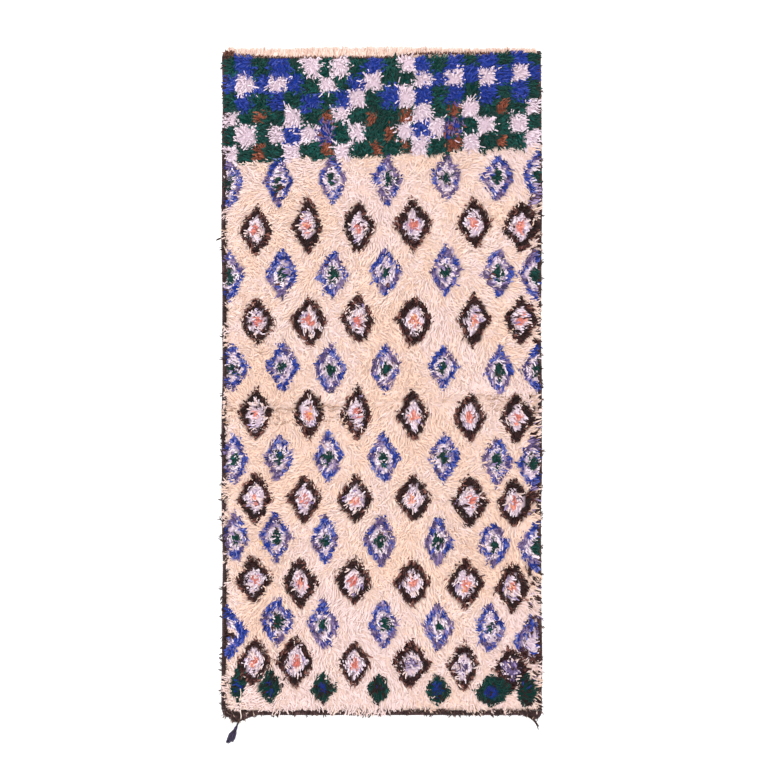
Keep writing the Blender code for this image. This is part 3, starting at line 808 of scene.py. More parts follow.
    toneNoise = smoothNoise(rootX, rootY, 0.170, 96) + 0.6 * smoothNoise(rootX, rootY, 0.060, 97)
    # painted shade: the ground's ends are darker along the crease, where the fold dips
    fromCrease = rootY - creaseLine(rootX)
    inCrease = np.exp(-(fromCrease / 0.009) ** 2)
    toneNoise = toneNoise - 2.5 * inCrease * (motif == 0)
    shade = repeat(shade) + 0.10 * toneNoise + chance.normal(0.0, 0.16, many)
    batch = smoothNoise(rootX, rootY, 0.210, 98) + 0.5 * smoothNoise(rootX, rootY, 0.050, 99)
    batch = batch + chance.normal(0.0, 0.35, many)
    batch = batch + 0.55 * np.exp(-((rootY - 0.010) / 0.11) ** 2)
    batch = batch - 0.40 * smoothStep(0.60, 0.72, rootY) - 0.25 * smoothStep(-0.62, -0.80, rootY)
    yarn = np.where((yarn == cream) & (batch > 0.28), warmCream, yarn)
    yarn = np.where((yarn == cream) & (batch < -0.28), rosyCream, yarn)

    # rows that the fold has opened: thin ends in the darkest warm tone lie along them, mostly by the sides,
    # as painted shade in the gaps between the rows
    fromRows = fromCrease - pile["creaseRise"] * rootX
    opened = sum(np.exp(-((fromRows - offset) / pile["openedHalf"]) ** 2) for offset in pile["openedRows"])
    bySides = 0.75 * smoothStep(-0.02, -0.22, rootX) + 0.6 * smoothStep(0.25, 0.42, rootX)
    opened = (opened * (0.25 + bySides) > 0.45) & (motif == 0) & (chance.random(many) < 0.85)
    count = opened.sum()
    yarn[opened] = warmCream
    shade[opened] = chance.uniform(0.0, 0.08, count)
    angle[opened] = chance.normal(0.0, 0.16, count) + math.pi * (chance.random(count) < 0.5)
    rise[opened] = (rise / share)[opened]
    thin = np.where(opened, 0.65, 1.0)
    return {
        "x": rootX, "y": rootY, "z": rootZ, "angle": angle, "reach": reach, "rise": rise,
        "curl": chance.normal(0.0, 0.17, many), "turn": chance.uniform(0.0, math.tau, many),
        "girth": (strandShape["girth"] * chance.uniform(0.66, 1.18, many)
                  * np.where(motif > 0, 1.08, thin)),
        "shade": np.clip(shade, 0.0, 1.0), "yarn": yarn,
    }


# The ground cloth with the close foot of its pile: one closed shell, coloured as it is knotted
ground = {
    "columns": 82,  # of squares about the size of a knot
    "rows": 180,
    "bedShare": 0.79,  # of the pile's height that is too close to see into
    "flat": (1.09, 2.28),  # as woven
    "weft": "#CDB49F",
}


def bedTop(x, y):
    # a fixed share of the pile's height, with a small lump for each knot or two
    return ground["bedShare"] * pileTop(x, y) + 0.0007 * smoothNoise(x, y, 0.013, 61)


def rimOf(rows, columns):
    # the grid's outer points, once round, counterclockwise from above
    index = np.arange(rows * columns).reshape(rows, columns)
    return np.concatenate([index[0, :-1], index[:-1, -1], index[-1, :0:-1], index[:0:-1, 0]])


def makeGround(topMaterial, underMaterial):
    # a grid on the floor between the bands, the same grid raised to the bed, and walls between
    # their rims
    x, y = fieldPlace(np.linspace(0.0, 1.0, ground["columns"] + 1)[None, :],
                      np.linspace(0.0, 1.0, ground["rows"] + 1)[:, None], 2 * plan["gap"])
    lower = np.stack([x, y, np.full_like(x, 0.0002)], -1).reshape(-1, 3)
    upper = np.stack([x, y, bedTop(x, y)], -1).reshape(-1, 3)
    rim = rimOf(*x.shape)
    walls = np.stack([rim, np.roll(rim, -1), np.roll(rim, -1) + x.size, rim + x.size], 1)
    under = gridFaces(*x.shape)[:, ::-1]
    faces = [gridFaces(*x.shape) + x.size, walls, under]
    points = np.concatenate([lower, upper])
    item = addMesh("ground_cloth", points, faces, topMaterial)
    item.data.materials.append(underMaterial)
    slots = np.repeat(np.int32([0, 0, 1]), [len(part) for part in faces])
    item.data.polygons.foreach_set("material_index", slots)
    # each point, and for the underside each face, takes the colour of the yarn knotted there
    middles = np.concatenate([points[part].mean(1) for part in faces])
    tones = np.array([hexToLinear(yarns[name][1][1]) for name in yarnNames])
    for layerName, kind, places in (("footYarn", "POINT", points), ("knotYarn", "FACE", middles)):
        yarn = knotPattern(places[:, 0], places[:, 1], even=True)[0]
        layer = item.data.attributes.new(layerName, "FLOAT_COLOR", kind)
        layer.data.foreach_set("color", tones[yarn].astype(np.float32).ravel())
    return item


def pileFoot():
    # The close foot of the pile, where yarn lies against yarn. The eye gets matted, winding wool in each
    # knot's own colour, with painted shade making it a little deeper than the ends above it.
    material, tree = newMaterial("pile_foot_wool")
    place = addNode(tree, "TexCoord").outputs["Object"]
    knots = addNode(tree, "Attribute", {"attribute_name": "footYarn"})
    fibres = addNode(tree, "TexNoise",
                     {"Scale": 170.0, "Detail": 3.0, "Roughness": 0.6, "Distortion": 2.6}, {"Vector": place})
    # painted shade: the foot's colour is dimmed to between 0.88 and 1.03 by the winding noise, so it reads
    # deeper than the ends above
    shade = addNode(tree, "MapRange",
                    {"From Min": 0.32, "From Max": 0.62, "To Min": 0.88, "To Max": 1.03}, {"Value": fibres})
    colour = addNode(tree, "Mix", multiply, {6: knots, 7: shade})
    return finishMaterial(material, {"Roughness": 0.95, "Specular IOR Level": 0.1},
                          colour, fibres, 0.9, 0.0060)


def groundCloth():
    # Plain-woven wool ground, beaten down over each row of knots. The eye gets ribs of knot backs
    # 10 mm apart along the rug, with a pale thread of weft between them.
    material, tree = newMaterial("knotted_wool_ground")
    place = addNode(tree, "TexCoord").outputs["Object"]
    knots = addNode(tree, "Attribute", {"attribute_name": "knotYarn"})
    perKnot = (1 / pile["knotAcross"], 1 / pile["knotAlong"], 1.0)
    scaled = addNode(tree, "Mapping", {"Scale": perKnot}, {"Vector": place})
    parts = addNode(tree, "SeparateXYZ", links={0: scaled})
    turns = [addNode(tree, "Math", {"operation": "MULTIPLY", 1: math.tau}, {0: parts.outputs[axis]})
             for axis in (0, 1)]
    waveAcross, waveAlong = [addNode(tree, "Math", {"operation": "COSINE"}, {0: turn}) for turn in turns]
    fibres = addNode(tree, "TexNoise", {"Scale": 420.0, "Detail": 2.0}, {"Vector": place})
    weave = addNode(tree, "Math", {"operation": "MULTIPLY_ADD", 1: 0.35}, {0: waveAcross, 2: waveAlong})
    height = addNode(tree, "Math", {"operation": "MULTIPLY_ADD", 1: 0.8}, {0: fibres, 2: weave})
    weft = addNode(tree, "MapRange",
                   {"From Min": -0.55, "From Max": -1.2, "To Min": 0.0, "To Max": 0.85}, {"Value": weave})
    shade = addNode(tree, "MapRange",
                    {"From Min": 0.3, "From Max": 0.7, "To Min": 0.78, "To Max": 1.0}, {"Value": fibres})
    shaded = addNode(tree, "Mix", multiply, {6: knots, 7: shade})
    colour = addNode(tree, "Mix", {"data_type": "RGBA", 7: hexToLinear(ground["weft"])},
                     {0: weft, 6: shaded.outputs[2]})
    return finishMaterial(material, {"Roughness": 0.95, "Specular IOR Level": 0.2},
                          colour, height, 0.8, 0.0012)


print("knotting the pile")
strands = growPile()
paleYarns = ("cream", "warm_cream", "rosy_cream", "pink_white", "coral")
for index, (name, tones) in enumerate(yarns.items()):
    chosen = strands["yarn"] == index
    bundle = {key: values[chosen] for key, values in strands.items()}
    # pale yarns get a paler painted root shade, #F9F0E9, and more sheen
    wool = pileWool(name + "_wool", tones, *(("#F9F0E9", 0.18) if name in paleYarns else ()))
    addStrands("pile_" + name, bundle, wool)
    print("  ", name, chosen.sum(), "ends")

print("laying the ground cloth")
groundPiece = makeGround(pileFoot(), groundCloth())
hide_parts("pile_field")


# The bands round the field

bands = {
    "wrapPitch": 0.0065,  # from one turn of the overcasting yarn to the next
    "wrapDepth": 0.0011,
    "stationsPerWrap": 2.0,
    "round": 8,
    "selvedgeHeight": 0.0085,
    "endBandHeight": 0.0098,
    "endBandInset": 0.003,
    "endCorner": 0.014,
    "endY": -1.16,  # where the end band's ends are
    "endStations": 330,
    "sideShort": 0.004,  # how far short of the heading's edge a side band ends
    "leastWidth": 0.002,
    "tones": [(0.30, "#2A1718"), (0.50, "#3E2728"), (0.72, "#5E4244")],
}


def wrappedBand(name, inner, outer, height, material):
    # a closed tube between two lines on the floor: across it swings from the inner line to the
    # outer by (1 - cos a) / 2, it rises by height * sin a, and its wraps swell it along its length
    count = len(inner)
    a = math.tau * np.arange(bands["round"]) / bands["round"]
    length = np.concatenate([[0.0], np.cumsum(np.linalg.norm(np.diff(outer, axis=0), axis=1))])
    slant = 0.35 * (1.0 - np.cos(a))[None, :]
    phase = length[:, None] / bands["wrapPitch"] + slant
    swell = np.abs(np.sin(math.pi * phase)) ** 0.7
    fade = np.minimum(1.0, np.minimum(np.arange(count), np.arange(count)[::-1]) / 3.0)
    fade = np.sqrt(np.clip(fade, 0.02, 1.0))[:, None]
    across = 0.5 - 0.5 * np.cos(a)[None, :] * (0.86 + 0.14 * swell)
    flat = inner[:, None, :] + (outer - inner)[:, None, :] * across[..., None]
    z = np.maximum(0.0006, (height - bands["wrapDepth"] * (1.0 - swell)) * np.sin(a)[None, :] * fade)
    points = np.concatenate([flat, z[..., None]], -1).reshape(-1, 3)
    faces = gridFaces(count, bands["round"], closed=True)
    first = np.array([[0, 1, 6, 7], [1, 2, 5, 6], [2, 3, 4, 5]])
    caps = np.concatenate([first, (first + (count - 1) * bands["round"])[:, ::-1]])
    return addMesh(name, points, [faces, caps], material)


def bandWool(name, alongY):
    # Dark handspun wool, overcast round the edge warps. The eye gets close round turns of yarn with dull
    # tops, painted shade darkening the gaps between them, and a little grey dust on them.
    material, tree = newMaterial(name)
    place = addNode(tree, "TexCoord").outputs["Object"]
    parts = addNode(tree, "SeparateXYZ", links={0: place})
    axis, other = (1, 0) if alongY else (0, 1)
    slanted = addNode(tree, "Math", {"operation": "MULTIPLY_ADD", 1: 0.25},
                      {0: parts.outputs[other], 2: parts.outputs[axis]})
    turns = addNode(tree, "Math", {"operation": "MULTIPLY", 1: math.tau / bands["wrapPitch"]}, {0: slanted})
    wave = addNode(tree, "Math", {"operation": "SINE"}, {0: turns})
    fibres = addNode(tree, "TexNoise", {"Scale": 520.0, "Detail": 2.0}, {"Vector": place})
    patches = addNode(tree, "TexNoise", {"Scale": 34.0, "Detail": 2.0}, {"Vector": place})
    tone = addNode(tree, "ValToRGB", {"stops": bands["tones"]}, {0: patches})
    # painted shade: the colour falls to 0.62 in the gaps between the turns of yarn
    shade = addNode(tree, "MapRange",
                    {"From Min": -1.0, "From Max": 1.0, "To Min": 0.62, "To Max": 1.05}, {"Value": wave})
    colour = addNode(tree, "Mix", multiply, {6: tone, 7: shade})
    height = addNode(tree, "Math", {"operation": "ADD"}, {0: wave, 1: fibres})
    sockets = {"Roughness": 0.93, "Specular IOR Level": 0.2, "Sheen Weight": 0.15}
    return finishMaterial(material, sockets, colour, height, 0.7, 0.0008)


def strandRows(x, y, z, angle, reach, rise, girth, shade, curl, seed):
    # one dictionary of equal arrays, as the strand function wants them
    chance = np.random.default_rng(seed)
    count = len(x)
    given = {"x": x, "y": y, "z": z, "angle": angle, "reach": reach, "rise": rise, "girth": girth,
             "shade": shade, "curl": curl, "turn": chance.uniform(0.0, math.tau, count)}
    return {key: np.broadcast_to(np.asarray(value, float), (count,)).copy() for key, value in given.items()}


print("overcasting the edges")
sideWool = bandWool("overcast_brown_wool", alongY=True)
endWool = bandWool("overcast_dark_wool", alongY=False)

sideTop = plan["length"] / 2
sideBottom = -plan["length"] / 2 + plan["endBandDepth"] + plan["gap"]
steps = round((sideTop - sideBottom) / bands["wrapPitch"] * bands["stationsPerWrap"])
sideY = np.linspace(sideBottom, sideTop - bands["sideShort"], steps)
for name, edge, side in (("left", leftEdge, -1), ("right", rightEdge, 1)):
    corner = plan[name + "Corner"]
    outerX = edge(sideY) - side * cornerPull(sideY - sideTop + corner, corner)
    innerX = edge(sideY) - side * plan["selvedgeWidth"] + side * plan["gap"]
    innerX = side * np.minimum(side * innerX, side * outerX - bands["leastWidth"])
    fromLeft = [np.stack([x, sideY], 1) for x in (innerX, outerX)][::side]
    band = wrappedBand(f"selvedge_{name}_wrap", *fromLeft, bands["selvedgeHeight"], sideWool)
    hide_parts("selvedge_" + name)

endX = np.linspace(leftEdge(bands["endY"]) + bands["endBandInset"], rightEdge(bands["endY"]),
                   bands["endStations"])
endRound = (cornerPull(endX[0] + bands["endCorner"] - endX, bands["endCorner"])
            + cornerPull(endX - endX[-1] + bands["endCorner"], bands["endCorner"]))
endOuter = np.stack([endX, endEdge(endX) + endRound], 1)
endInner = np.stack([endX, np.full_like(endX, fieldBottom - plan["gap"])], 1)
endPiece = wrappedBand("end_band_wrap", endOuter, endInner, bands["endBandHeight"], endWool)
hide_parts("end_band")


# The heading: a cotton weft-faced strip with ribs of warp, and the warps' cut ends beyond it

heading = {
    "ribPitch": 0.0070,
    "ribDepth": 0.0012,
    "height": 0.0066,
    "pointsPerRib": 3,
    "deep": 5,
    "weftPitch": 0.0022,
    "tones": [(0.28, "#C39A86"), (0.48, "#E6C6B8"), (0.70, "#F5DDD2")],
    "endTones": [(0.0, "#B98F7C"), (0.30, "#DAB5A4"), (0.65, "#EBCFC3"), (1.0, "#F4E0D7")],
    "ends": 1400,
    "endReach": (0.002, 0.012),
    "endJitter": 0.0015,
    "endRise": (-0.0030, 0.0022),
    "endGirth": (0.0011, 0.0020),
    "coveredShare": 0.45,  # of the ends that stop halfway over the weave
    "wave": (0.003, 0.022),  # of the ends' reach: its height and its length
    "sideY": 1.15,  # where its ends are taken, and how far they stay off the side bands
    "sideGap": 0.001,
}


def headingCloth():
    # Unbleached cotton warps under a cotton weft. The eye gets pale upright ribs about 7 mm apart, drawn a
    # little coarser than the warps so that they show, with painted shade greying the hollows between them.
    material, tree = newMaterial("heading_cotton")
    place = addNode(tree, "TexCoord").outputs["Object"]
    parts = addNode(tree, "SeparateXYZ", links={0: place})
    turns = [addNode(tree, "Math", {"operation": "MULTIPLY", 1: math.tau / heading[pitch]},
                     {0: parts.outputs[axis]}) for axis, pitch in enumerate(("ribPitch", "weftPitch"))]
    wave, weft = [addNode(tree, "Math", {"operation": "SINE"}, {0: turn}) for turn in turns]
    streaks = addNode(tree, "Mapping", {"Scale": (240.0, 22.0, 1.0)}, {"Vector": place})
    fibres = addNode(tree, "TexNoise", {"Scale": 1.0, "Detail": 2.0}, {"Vector": streaks})
    tone = addNode(tree, "ValToRGB", {"stops": heading["tones"]}, {0: fibres})
    # painted shade: the colour falls to 0.84 in the hollows between the ribs
    shade = addNode(tree, "MapRange",
                    {"From Min": -1.0, "From Max": 1.0, "To Min": 0.84, "To Max": 1.03}, {"Value": wave})
    colour = addNode(tree, "Mix", multiply, {6: tone, 7: shade})
    height = addNode(tree, "Math", {"operation": "MULTIPLY_ADD", 1: 0.3}, {0: weft, 2: fibres})
    return finishMaterial(material, {"Roughness": 0.9, "Specular IOR Level": 0.25},
                          colour, height, 0.6, 0.0006)


print("weaving the heading")
ribs = round((plan["width"] - 2 * plan["selvedgeWidth"]) / heading["ribPitch"])
headX = np.linspace(fieldLeft(heading["sideY"]) + heading["sideGap"],
                    fieldRight(heading["sideY"]) - heading["sideGap"], ribs * heading["pointsPerRib"] + 1)
headInner = headingInner(headX) + plan["gap"]
headOuter = headingEdge(headX)
rib = 0.5 + 0.5 * np.cos(math.tau * (headX - headX[0]) / heading["ribPitch"])
around = heading["deep"] * 2
a = math.tau * np.arange(around) / around
deepShare = 0.5 - 0.5 * np.cos(a)[None, :]
headZ = heading["height"] - heading["ribDepth"] * rib[:, None]
headZ = headZ * np.sqrt(np.clip(np.sin(a), 0.0, 1.0))[None, :] * (1.0 - 0.35 * deepShare)
headPoints = np.stack([np.broadcast_to(headX[:, None], headZ.shape),
                       headInner[:, None] + (headOuter - headInner)[:, None] * deepShare,
                       np.maximum(headZ, 0.0005)], -1).reshape(-1, 3)
headFaces = gridFaces(len(headX), around, closed=True)[:, ::-1]
capStart = np.array([[0, 1, 8, 9], [1, 2, 7, 8], [2, 3, 6, 7], [3, 4, 5, 6]])
headCaps = np.concatenate([capStart[:, ::-1], capStart + (len(headX) - 1) * around])
headPiece = addMesh("heading_weave", headPoints, [headFaces, headCaps], headingCloth())
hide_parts("heading_fringe")

chance = np.random.default_rng(41)
many = heading["ends"]
jitter = heading["endJitter"]
fringeX = np.linspace(headX[1], headX[-2], many) + chance.uniform(-jitter, jitter, many)
depth = headingEdge(fringeX) - headingInner(fringeX)
start = chance.beta(1.2, 1.0, many) * 0.85  # where a warp end rises out of the weave
fringeReach = (1.0 - start) * depth + chance.uniform(*heading["endReach"], many)
waveHeight, waveLength = heading["wave"]
fringeReach = fringeReach + waveHeight * smoothNoise(fringeX, 0.0 * fringeX, waveLength, 44)
fringeReach = np.where(chance.random(many) < heading["coveredShare"], 0.5 * depth, fringeReach)
fringe = strandRows(fringeX, headingInner(fringeX) + start * depth,
                    heading["height"] - 0.0012 - 0.0022 * start,
                    math.pi / 2 + chance.normal(0.0, 0.16, many), fringeReach,
                    chance.uniform(*heading["endRise"], many), chance.uniform(*heading["endGirth"], many),
                    np.clip(chance.normal(0.55, 0.24, many), 0, 1), chance.normal(0.0, 0.06, many), 42)
# E0CDBF is the painted shade at the ends' roots
headingEndWool = pileWool("heading_cotton_ends", heading["endTones"], "#E0CDBF", 0.15)
addStrands("heading_ends", fringe, headingEndWool)


# Loose ends of the dark binding wool along the sides and the end, and over the first corner

loose = {
    "endsPerLock": 4,
    "endSpread": 0.0020,
    # by side: how many locks, the share that points left, where they start from the edge, and
    # their reach, swing, rise and share of lightness
    "left": {"locks": 310, "toLeft": 0.18, "start": (0.004, 0.014), "reach": (0.008, 0.024),
             "lean": 0.7, "rise": (0.001, 0.0120), "light": 0.75, "seed": 52},
    "right": {"locks": 230, "toLeft": 0.50, "start": (0.003, 0.013), "reach": (0.007, 0.016),
              "lean": 0.95, "rise": (-0.002, 0.0100), "light": 1.0, "seed": 54},
    "endLocks": 190,
    "farLocks": 60,  # more of them towards the far corner
    "endFrom": (-0.548, 0.545),
    "farFrom": (0.10, 0.545),
    "endReach": (0.008, 0.016),
    "cornerTufts": 46,
    "tuftsFrom": (-0.553, -0.462),
    "tuftReach": (0.007, 0.019),
    "tuftRise": (0.0, 0.004),
    "endRise": (-0.001, 0.0090),
    "downShare": 0.30,  # of the end band's locks that hang off it
    "girth": (0.0010, 0.0019),
    # brown ends over the corner, from these places on, and along the line: how high they start,
    # their aim, its strays, and their reach, rise and share of lightness
    "corner": {"height": 0.0075, "aim": 1.9, "swing": 0.5, "reach": (0.007, 0.012),
               "rise": (-0.001, 0.003), "light": 1.0, "seed": 58},
    "line": {"height": 0.0100, "aim": 1.57, "swing": 0.7, "reach": (0.005, 0.011),
             "rise": (0.0, 0.003), "light": 0.8, "seed": 59},
    "brownGirth": 0.0018,
    "cornerEnds": 110,
    "cornerInset": 0.010,
    "cornerSize": (0.034, 0.030),
    "cornerY": 1.128,
    "lineEnds": 150,
    "lineFrom": (-0.50, 0.06, 0.38),  # two stretches of the dashed line
    "tones": [(0.0, "#1B0B0B"), (0.45, "#38211F"), (0.78, "#5C4440"), (1.0, "#B79A8C")],
    "brownTones": [(0.0, "#2A120F"), (0.40, "#4F2B22"), (0.75, "#7A4A3A"), (1.0, "#A07460")],
}


def bunchedEnds(x, y, z, outward, reach, lean, seed, rise):
    # each place gets a few ends side by side, their angle about outward by lean
    chance = np.random.default_rng(seed)
    many = len(x) * loose["endsPerLock"]
    repeat = lambda values: np.repeat(values, loose["endsPerLock"])
    angle = outward + repeat(chance.normal(0.0, lean, len(x))) + chance.normal(0.0, 0.22, many)
    endX, endY = [repeat(values) + chance.normal(0.0, loose["endSpread"], many) for values in (x, y)]
    length = repeat(chance.uniform(*reach, len(x))) * chance.uniform(0.7, 1.1, many)
    return strandRows(endX, endY, z, angle, length, chance.uniform(*rise, many),
                      chance.uniform(*loose["girth"], many),
                      np.clip(chance.normal(0.45, 0.28, many), 0, 1), chance.normal(0.0, 0.12, many),
                      seed + 1)


def brownEnds(x, y, kind):
    # one short end at each place, by the values of its kind
    many = len(x)
    return strandRows(x, y, kind["height"], chance.normal(kind["aim"], kind["swing"], many),
                      chance.uniform(*kind["reach"], many), chance.uniform(*kind["rise"], many),
                      loose["brownGirth"], kind["light"] * chance.random(many), 0.05, kind["seed"])


print("loosening the edges")
bindingEnds = pileWool("binding_wool_ends", loose["tones"])
chance = np.random.default_rng(51)
for name, edge, side in (("left", leftEdge, 1), ("right", rightEdge, -1)):
    kind = loose[name]
    lockY = np.linspace(sideBottom + 0.004, sideTop - 0.02, kind["locks"])
    lockY = lockY + chance.uniform(-0.005, 0.005, kind["locks"])
    aim = np.where(chance.random(kind["locks"]) < kind["toLeft"], math.pi, 0.0)
    lockX = edge(lockY) + side * chance.uniform(*kind["start"], kind["locks"])
    locks = bunchedEnds(lockX, lockY, 0.0080, aim.repeat(loose["endsPerLock"]), kind["reach"],
                        kind["lean"], kind["seed"], kind["rise"])
    locks["shade"] = kind["light"] * locks["shade"]
    addStrands(f"selvedge_{name}_ends", locks, bindingEnds)

lockX = np.concatenate([np.linspace(*loose["endFrom"], loose["endLocks"]),
                        chance.uniform(*loose["farFrom"], loose["farLocks"])])
lockX = lockX + chance.uniform(-0.004, 0.004, len(lockX))
downward = chance.random(len(lockX)) < loose["downShare"]
lockAim = np.where(downward, -math.pi / 2, math.pi / 2).repeat(loose["endsPerLock"])
lockY = np.where(downward, endEdge(lockX), fieldBottom - 0.017) + chance.uniform(0.004, 0.016, len(lockX))
endLocks = bunchedEnds(lockX, lockY, 0.0095, lockAim, loose["endReach"], 0.5, 56, loose["endRise"])
tuftX = chance.uniform(*loose["tuftsFrom"], loose["cornerTufts"])
tuftY = endEdge(tuftX) + 0.002 + chance.uniform(0.15, 1.0, len(tuftX)) * (fieldBottom - endEdge(tuftX))
cornerTufts = bunchedEnds(tuftX, tuftY, 0.0092, -math.pi / 2, loose["tuftReach"], 1.1, 66,
                          loose["tuftRise"])
cornerTufts["shade"] = chance.beta(0.6, 0.9, len(cornerTufts["shade"]))
endLocks = {key: np.concatenate([endLocks[key], cornerTufts[key]]) for key in endLocks}
addStrands("end_band_ends", endLocks, bindingEnds)

# the brown corner and the dashed line of brown ends along the heading
cornerShare = chance.random((loose["cornerEnds"], 2))
cornerX = leftEdge(1.14) + loose["cornerInset"] + loose["cornerSize"][0] * cornerShare[:, 0]
cornerY = loose["cornerY"] + loose["cornerSize"][1] * cornerShare[:, 1]
corner = brownEnds(cornerX, np.minimum(cornerY, headingEdge(cornerX) - 0.006), loose["corner"])
lineX = np.concatenate([np.linspace(*stretch, loose["lineEnds"])
                        for stretch in (loose["lineFrom"][:2], loose["lineFrom"][1:])])
lineX = lineX + chance.normal(0.0, 0.0022, len(lineX))
lineY = headingInner(lineX) + pileOver(lineX) + chance.uniform(-0.004, 0.002, len(lineX))
line = brownEnds(lineX, lineY, loose["line"])
cornerWool = pileWool("corner_brown_wool", loose["brownTones"])
both = {key: np.concatenate([corner[key], line[key]]) for key in corner}
addStrands("heading_brown_ends", both, cornerWool)


# The tassel: a plied stem out of the end band, a wrapped head and loose ends

tassel = {
    "rootX": -0.5005,
    "heading": math.radians(-113.5),  # from the X axis
    "stem": 0.021,
    "stemRadius": 0.0030,
    "stemHeights": (0.0060, 0.0046, 0.0040, 0.0042),  # over the floor, from the band on
    "stemRings": 16,
    "lap": 0.004,  # how far the stem runs into the band
    "head": 0.010,
    "headRadius": 0.0060,
    "headHeight": 0.0050,
    "headRings": 13,
    "threads": 5,  # turns of thread round the head, and their depth
    "threadDepth": 0.0004,
    "ends": 110,
    "fan": (math.radians(-101), math.radians(-120)),
    "lengths": (0.042, 0.064),  # at each side of the fan
    "endRadius": 0.0012,
    "tones": [(0.0, "#1D1428"), (0.45, "#2F2540"), (0.80, "#453C58"), (1.0, "#5C5474")],
    "wrapTones": [(0.0, "#20172B"), (0.5, "#2D233D"), (1.0, "#3C3350")],
}

print("tying the tassel")
aubergineWool = pileWool("aubergine_wool", tassel["tones"], sheen=0.08)
along = np.array([math.cos(tassel["heading"]), math.sin(tassel["heading"])])
tasselRoot = np.array([tassel["rootX"], endEdge(tassel["rootX"]) + tassel["lap"]])
reachShare = np.array([0.0, 0.35, 0.7, 1.0])
stemLine = np.concatenate([tasselRoot + along * (reachShare[:, None] * (tassel["stem"] + tassel["lap"])),
                           np.array(tassel["stemHeights"])[:, None]], 1)
stemLine = smoothLine(stemLine, tassel["stemRings"])
headStart = tasselRoot + along * (tassel["stem"] + 0.002)
headShare = np.linspace(0.0, 1.0, tassel["headRings"])
headLine = np.concatenate([headStart + along * (headShare[:, None] * tassel["head"]),
                           np.full((tassel["headRings"], 1), tassel["headHeight"])], 1)
bulge = np.sqrt(np.sin(math.pi * np.clip(headShare * 0.8 + 0.1, 0, 1)))
bulge = tassel["headRadius"] * (0.55 + 0.45 * bulge)
turnsOfThread = tassel["threadDepth"] * np.cos(math.tau * headShare * tassel["threads"])
stem = [(stemLine, np.full(tassel["stemRings"], tassel["stemRadius"]), 0.0),
        (headLine, np.minimum(bulge - turnsOfThread, 0.0047 + 0.0012 * np.sin(math.pi * headShare)), 1.0)]
# D8D4D8 is painted shade towards the start of each tube
wrapWool = pileWool("tassel_wrap_wool", tassel["wrapTones"], "#D8D4D8")
tasselStem = addTubes("tassel_stem", stem, wrapWool, sides=10, lobes=2, twist=900.0)
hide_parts("corner_tassel")

chance = np.random.default_rng(61)
fanShare = chance.random(tassel["ends"])
fanAngle = tassel["fan"][0] + fanShare * (tassel["fan"][1] - tassel["fan"][0])
endLength = tassel["lengths"][0] + fanShare * (tassel["lengths"][1] - tassel["lengths"][0])
endLength = endLength * chance.uniform(0.84, 1.03, tassel["ends"])
skirtRoot = headStart + along * (tassel["head"] * 0.75)
sideStep = (fanShare - 0.5) * 0.007
skirt = strandRows(skirtRoot[0] + sideStep * along[1], skirtRoot[1] - sideStep * along[0],
                   chance.uniform(0.0022, 0.0065, tassel["ends"]), fanAngle, endLength,
                   chance.uniform(-0.0030, -0.0004, tassel["ends"]), tassel["endRadius"],
                   np.clip(chance.normal(0.48, 0.34, tassel["ends"]), 0, 1),
                   chance.normal(0.0, 0.06, tassel["ends"]), 62)
addStrands("tassel_ends", skirt, aubergineWool)


# Loose yarns: the end band's tail and loops, a wisp at the heading, and strays in the pile

strays = {
    # the tail and wisps in metres over the floor: across, along and up
    "tail": ((0.512, -1.168, 0.006), (0.524, -1.176, 0.006), (0.536, -1.188, 0.0045),
             (0.545, -1.203, 0.0032), (0.549, -1.217, 0.0022)),
    "tailTwin": ((0.520, -1.170, 0.004), (0.535, -1.184, 0.0035), (0.546, -1.198, 0.0025),
                 (0.552, -1.206, 0.0018)),
    "loop": ((0.531, -1.176, 0.005), (0.543, -1.172, 0.004), (0.547, -1.180, 0.003),
             (0.541, -1.190, 0.003), (0.534, -1.186, 0.004)),
    "wisp": ((0.556, -1.150, 0.006), (0.564, -1.158, 0.003), (0.570, -1.168, 0.002)),
    "sideWisp": ((-0.551, -1.000, 0.007), (-0.562, -1.008, 0.004), (-0.573, -1.006, 0.003)),
    "topWisp": ((0.438, 1.150, 0.014), (0.441, 1.166, 0.010), (0.437, 1.182, 0.006),
                (0.441, 1.192, 0.004)),
    "looseYarn": ((-0.398, -0.955, 0.030), (-0.385, -0.965, 0.033), (-0.368, -0.972, 0.032),
                  (-0.352, -0.979, 0.029)),
    "paleYarn": ((-0.4945, -1.070, 0.029), (-0.4925, -1.092, 0.027), (-0.4960, -1.112, 0.025),
                 (-0.4925, -1.132, 0.021), (-0.4950, -1.150, 0.0155), (-0.4925, -1.166, 0.0125),
                 (-0.4940, -1.180, 0.0095)),
    "ochreLock": ((-0.427, -0.556, 0.026), (-0.422, -0.562, 0.031), (-0.413, -0.571, 0.030)),
    "tones": [(0.0, "#6B4B42"), (0.4, "#8A6A4C"), (0.7, "#EBD9CF"), (0.85, "#EBD9CF"), (0.95, "#D9B04A")],
    # each yarn's points, its radius at both ends and its shade
    "dark": (("tail", 18, 0.0046, 0.0014, 0.30), ("tailTwin", 14, 0.0036, 0.0010, 0.0),
             ("loop", 16, 0.0011, 0.0011, 0.55), ("wisp", 10, 0.0018, 0.0006, 0.75),
             ("sideWisp", 10, 0.0040, 0.0016, 0.15), ("topWisp", 14, 0.0015, 0.0006, 1.0)),
    "pale": (("looseYarn", 12, 0.0014, 0.0014, 0.0), ("paleYarn", 20, 0.0015, 0.0015, 0.8),
             ("ochreLock", 10, 0.0026, 0.0012, 1.0)),
}

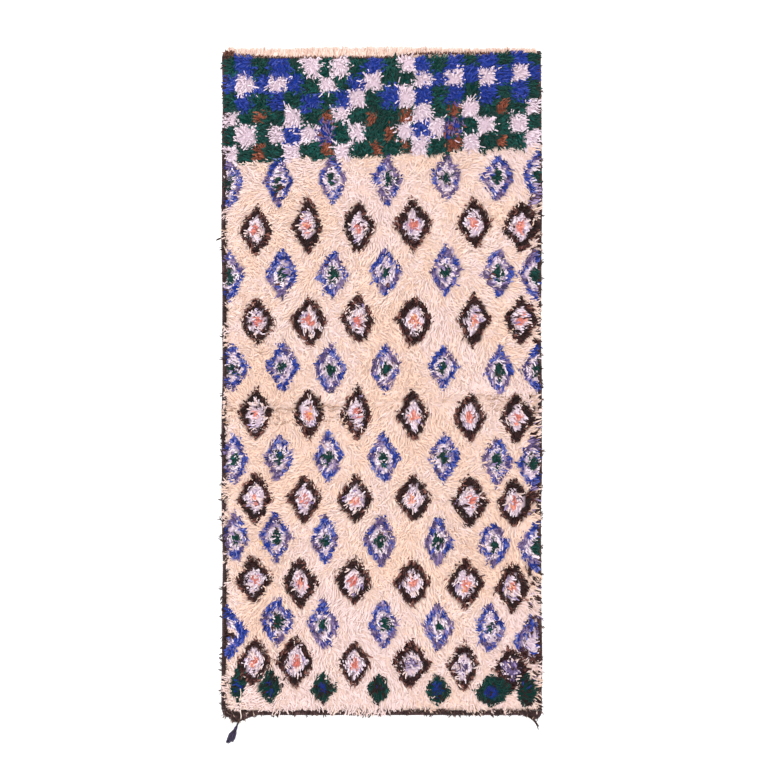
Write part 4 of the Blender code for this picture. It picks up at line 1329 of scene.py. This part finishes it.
print("leaving the stray yarns")
# C8C0B8 is painted shade towards the start of each yarn
strayWool = pileWool("stray_wool", strays["tones"], "#C8C0B8", 0.1)
for name, group, wool, slot, twist in (("loose_dark_yarns", "dark", bindingEnds, "binding_wool", 700.0),
                                       ("stray_yarns", "pale", strayWool, "pile_wool", 900.0)):
    lines = [(smoothLine(strays[key], count), np.linspace(first, last, count), shade)
             for key, count, first, last, shade in strays[group]]
    addTubes(name, lines, wool, sides=6, lobes=2, twist=twist)


# Floor, light and camera

studio = {
    "floor": "#F4F4F4",
    "sky": 1.77,
    "sun": 0.74,
    "sunSpread": 75.0,
    "sunTurn": (-28, -22, 0),
    "pixel": 0.0035,  # one pixel of the photograph on the floor
    "pixels": 768,
    "aimX": 0.0079,
    "aimY": -0.00525,
    "cameraHeight": 12.0,  # over the top of the rug
    "rugTop": 0.02,
    "sensor": 36.0,
}

print("lighting the studio")
floorMesh = bpy.data.meshes.new("studio_floor")
floorMesh.from_pydata([(-9, -9, 0), (9, -9, 0), (9, 9, 0), (-9, 9, 0)], [], [(0, 1, 2, 3)])
floor = addItem("studio_floor", floorMesh)
paint = {"Base Color": hexToLinear(studio["floor"]), "Roughness": 0.8, "Specular IOR Level": 0.1}
floor.data.materials.append(finishMaterial(newMaterial("painted_floor")[0], paint))

world = bpy.data.worlds.new("studio_sky")
world.use_nodes = True
sky = world.node_tree.nodes["Background"]
sky.inputs["Color"].default_value = (1.0, 1.0, 1.0, 1.0)
sky.inputs["Strength"].default_value = studio["sky"]
bpy.context.scene.world = world

sunData = bpy.data.lights.new("soft_key", "SUN")
sunData.energy = studio["sun"]
sunData.angle = math.radians(studio["sunSpread"])
sun = addItem("soft_key", sunData)
sun.rotation_euler = [math.radians(turn) for turn in studio["sunTurn"]]

cameraData = bpy.data.cameras.new("photo_camera")
cameraData.sensor_width = studio["sensor"]
cameraData.lens = studio["sensor"] * studio["cameraHeight"] / (studio["pixel"] * studio["pixels"])
cameraData.clip_end = 60.0
camera = addItem("photo_camera", cameraData)
camera.location = (studio["aimX"], studio["aimY"], studio["cameraHeight"] + studio["rugTop"])
bpy.context.scene.camera = camera
bpy.context.scene.view_settings.view_transform = "Standard"

print("measuring")
triangles = sum(len(item.data.loops) - 2 * len(item.data.polygons)
                for item in bpy.context.scene.objects if item.type == "MESH" and not item.hide_render)
print("triangles", triangles)
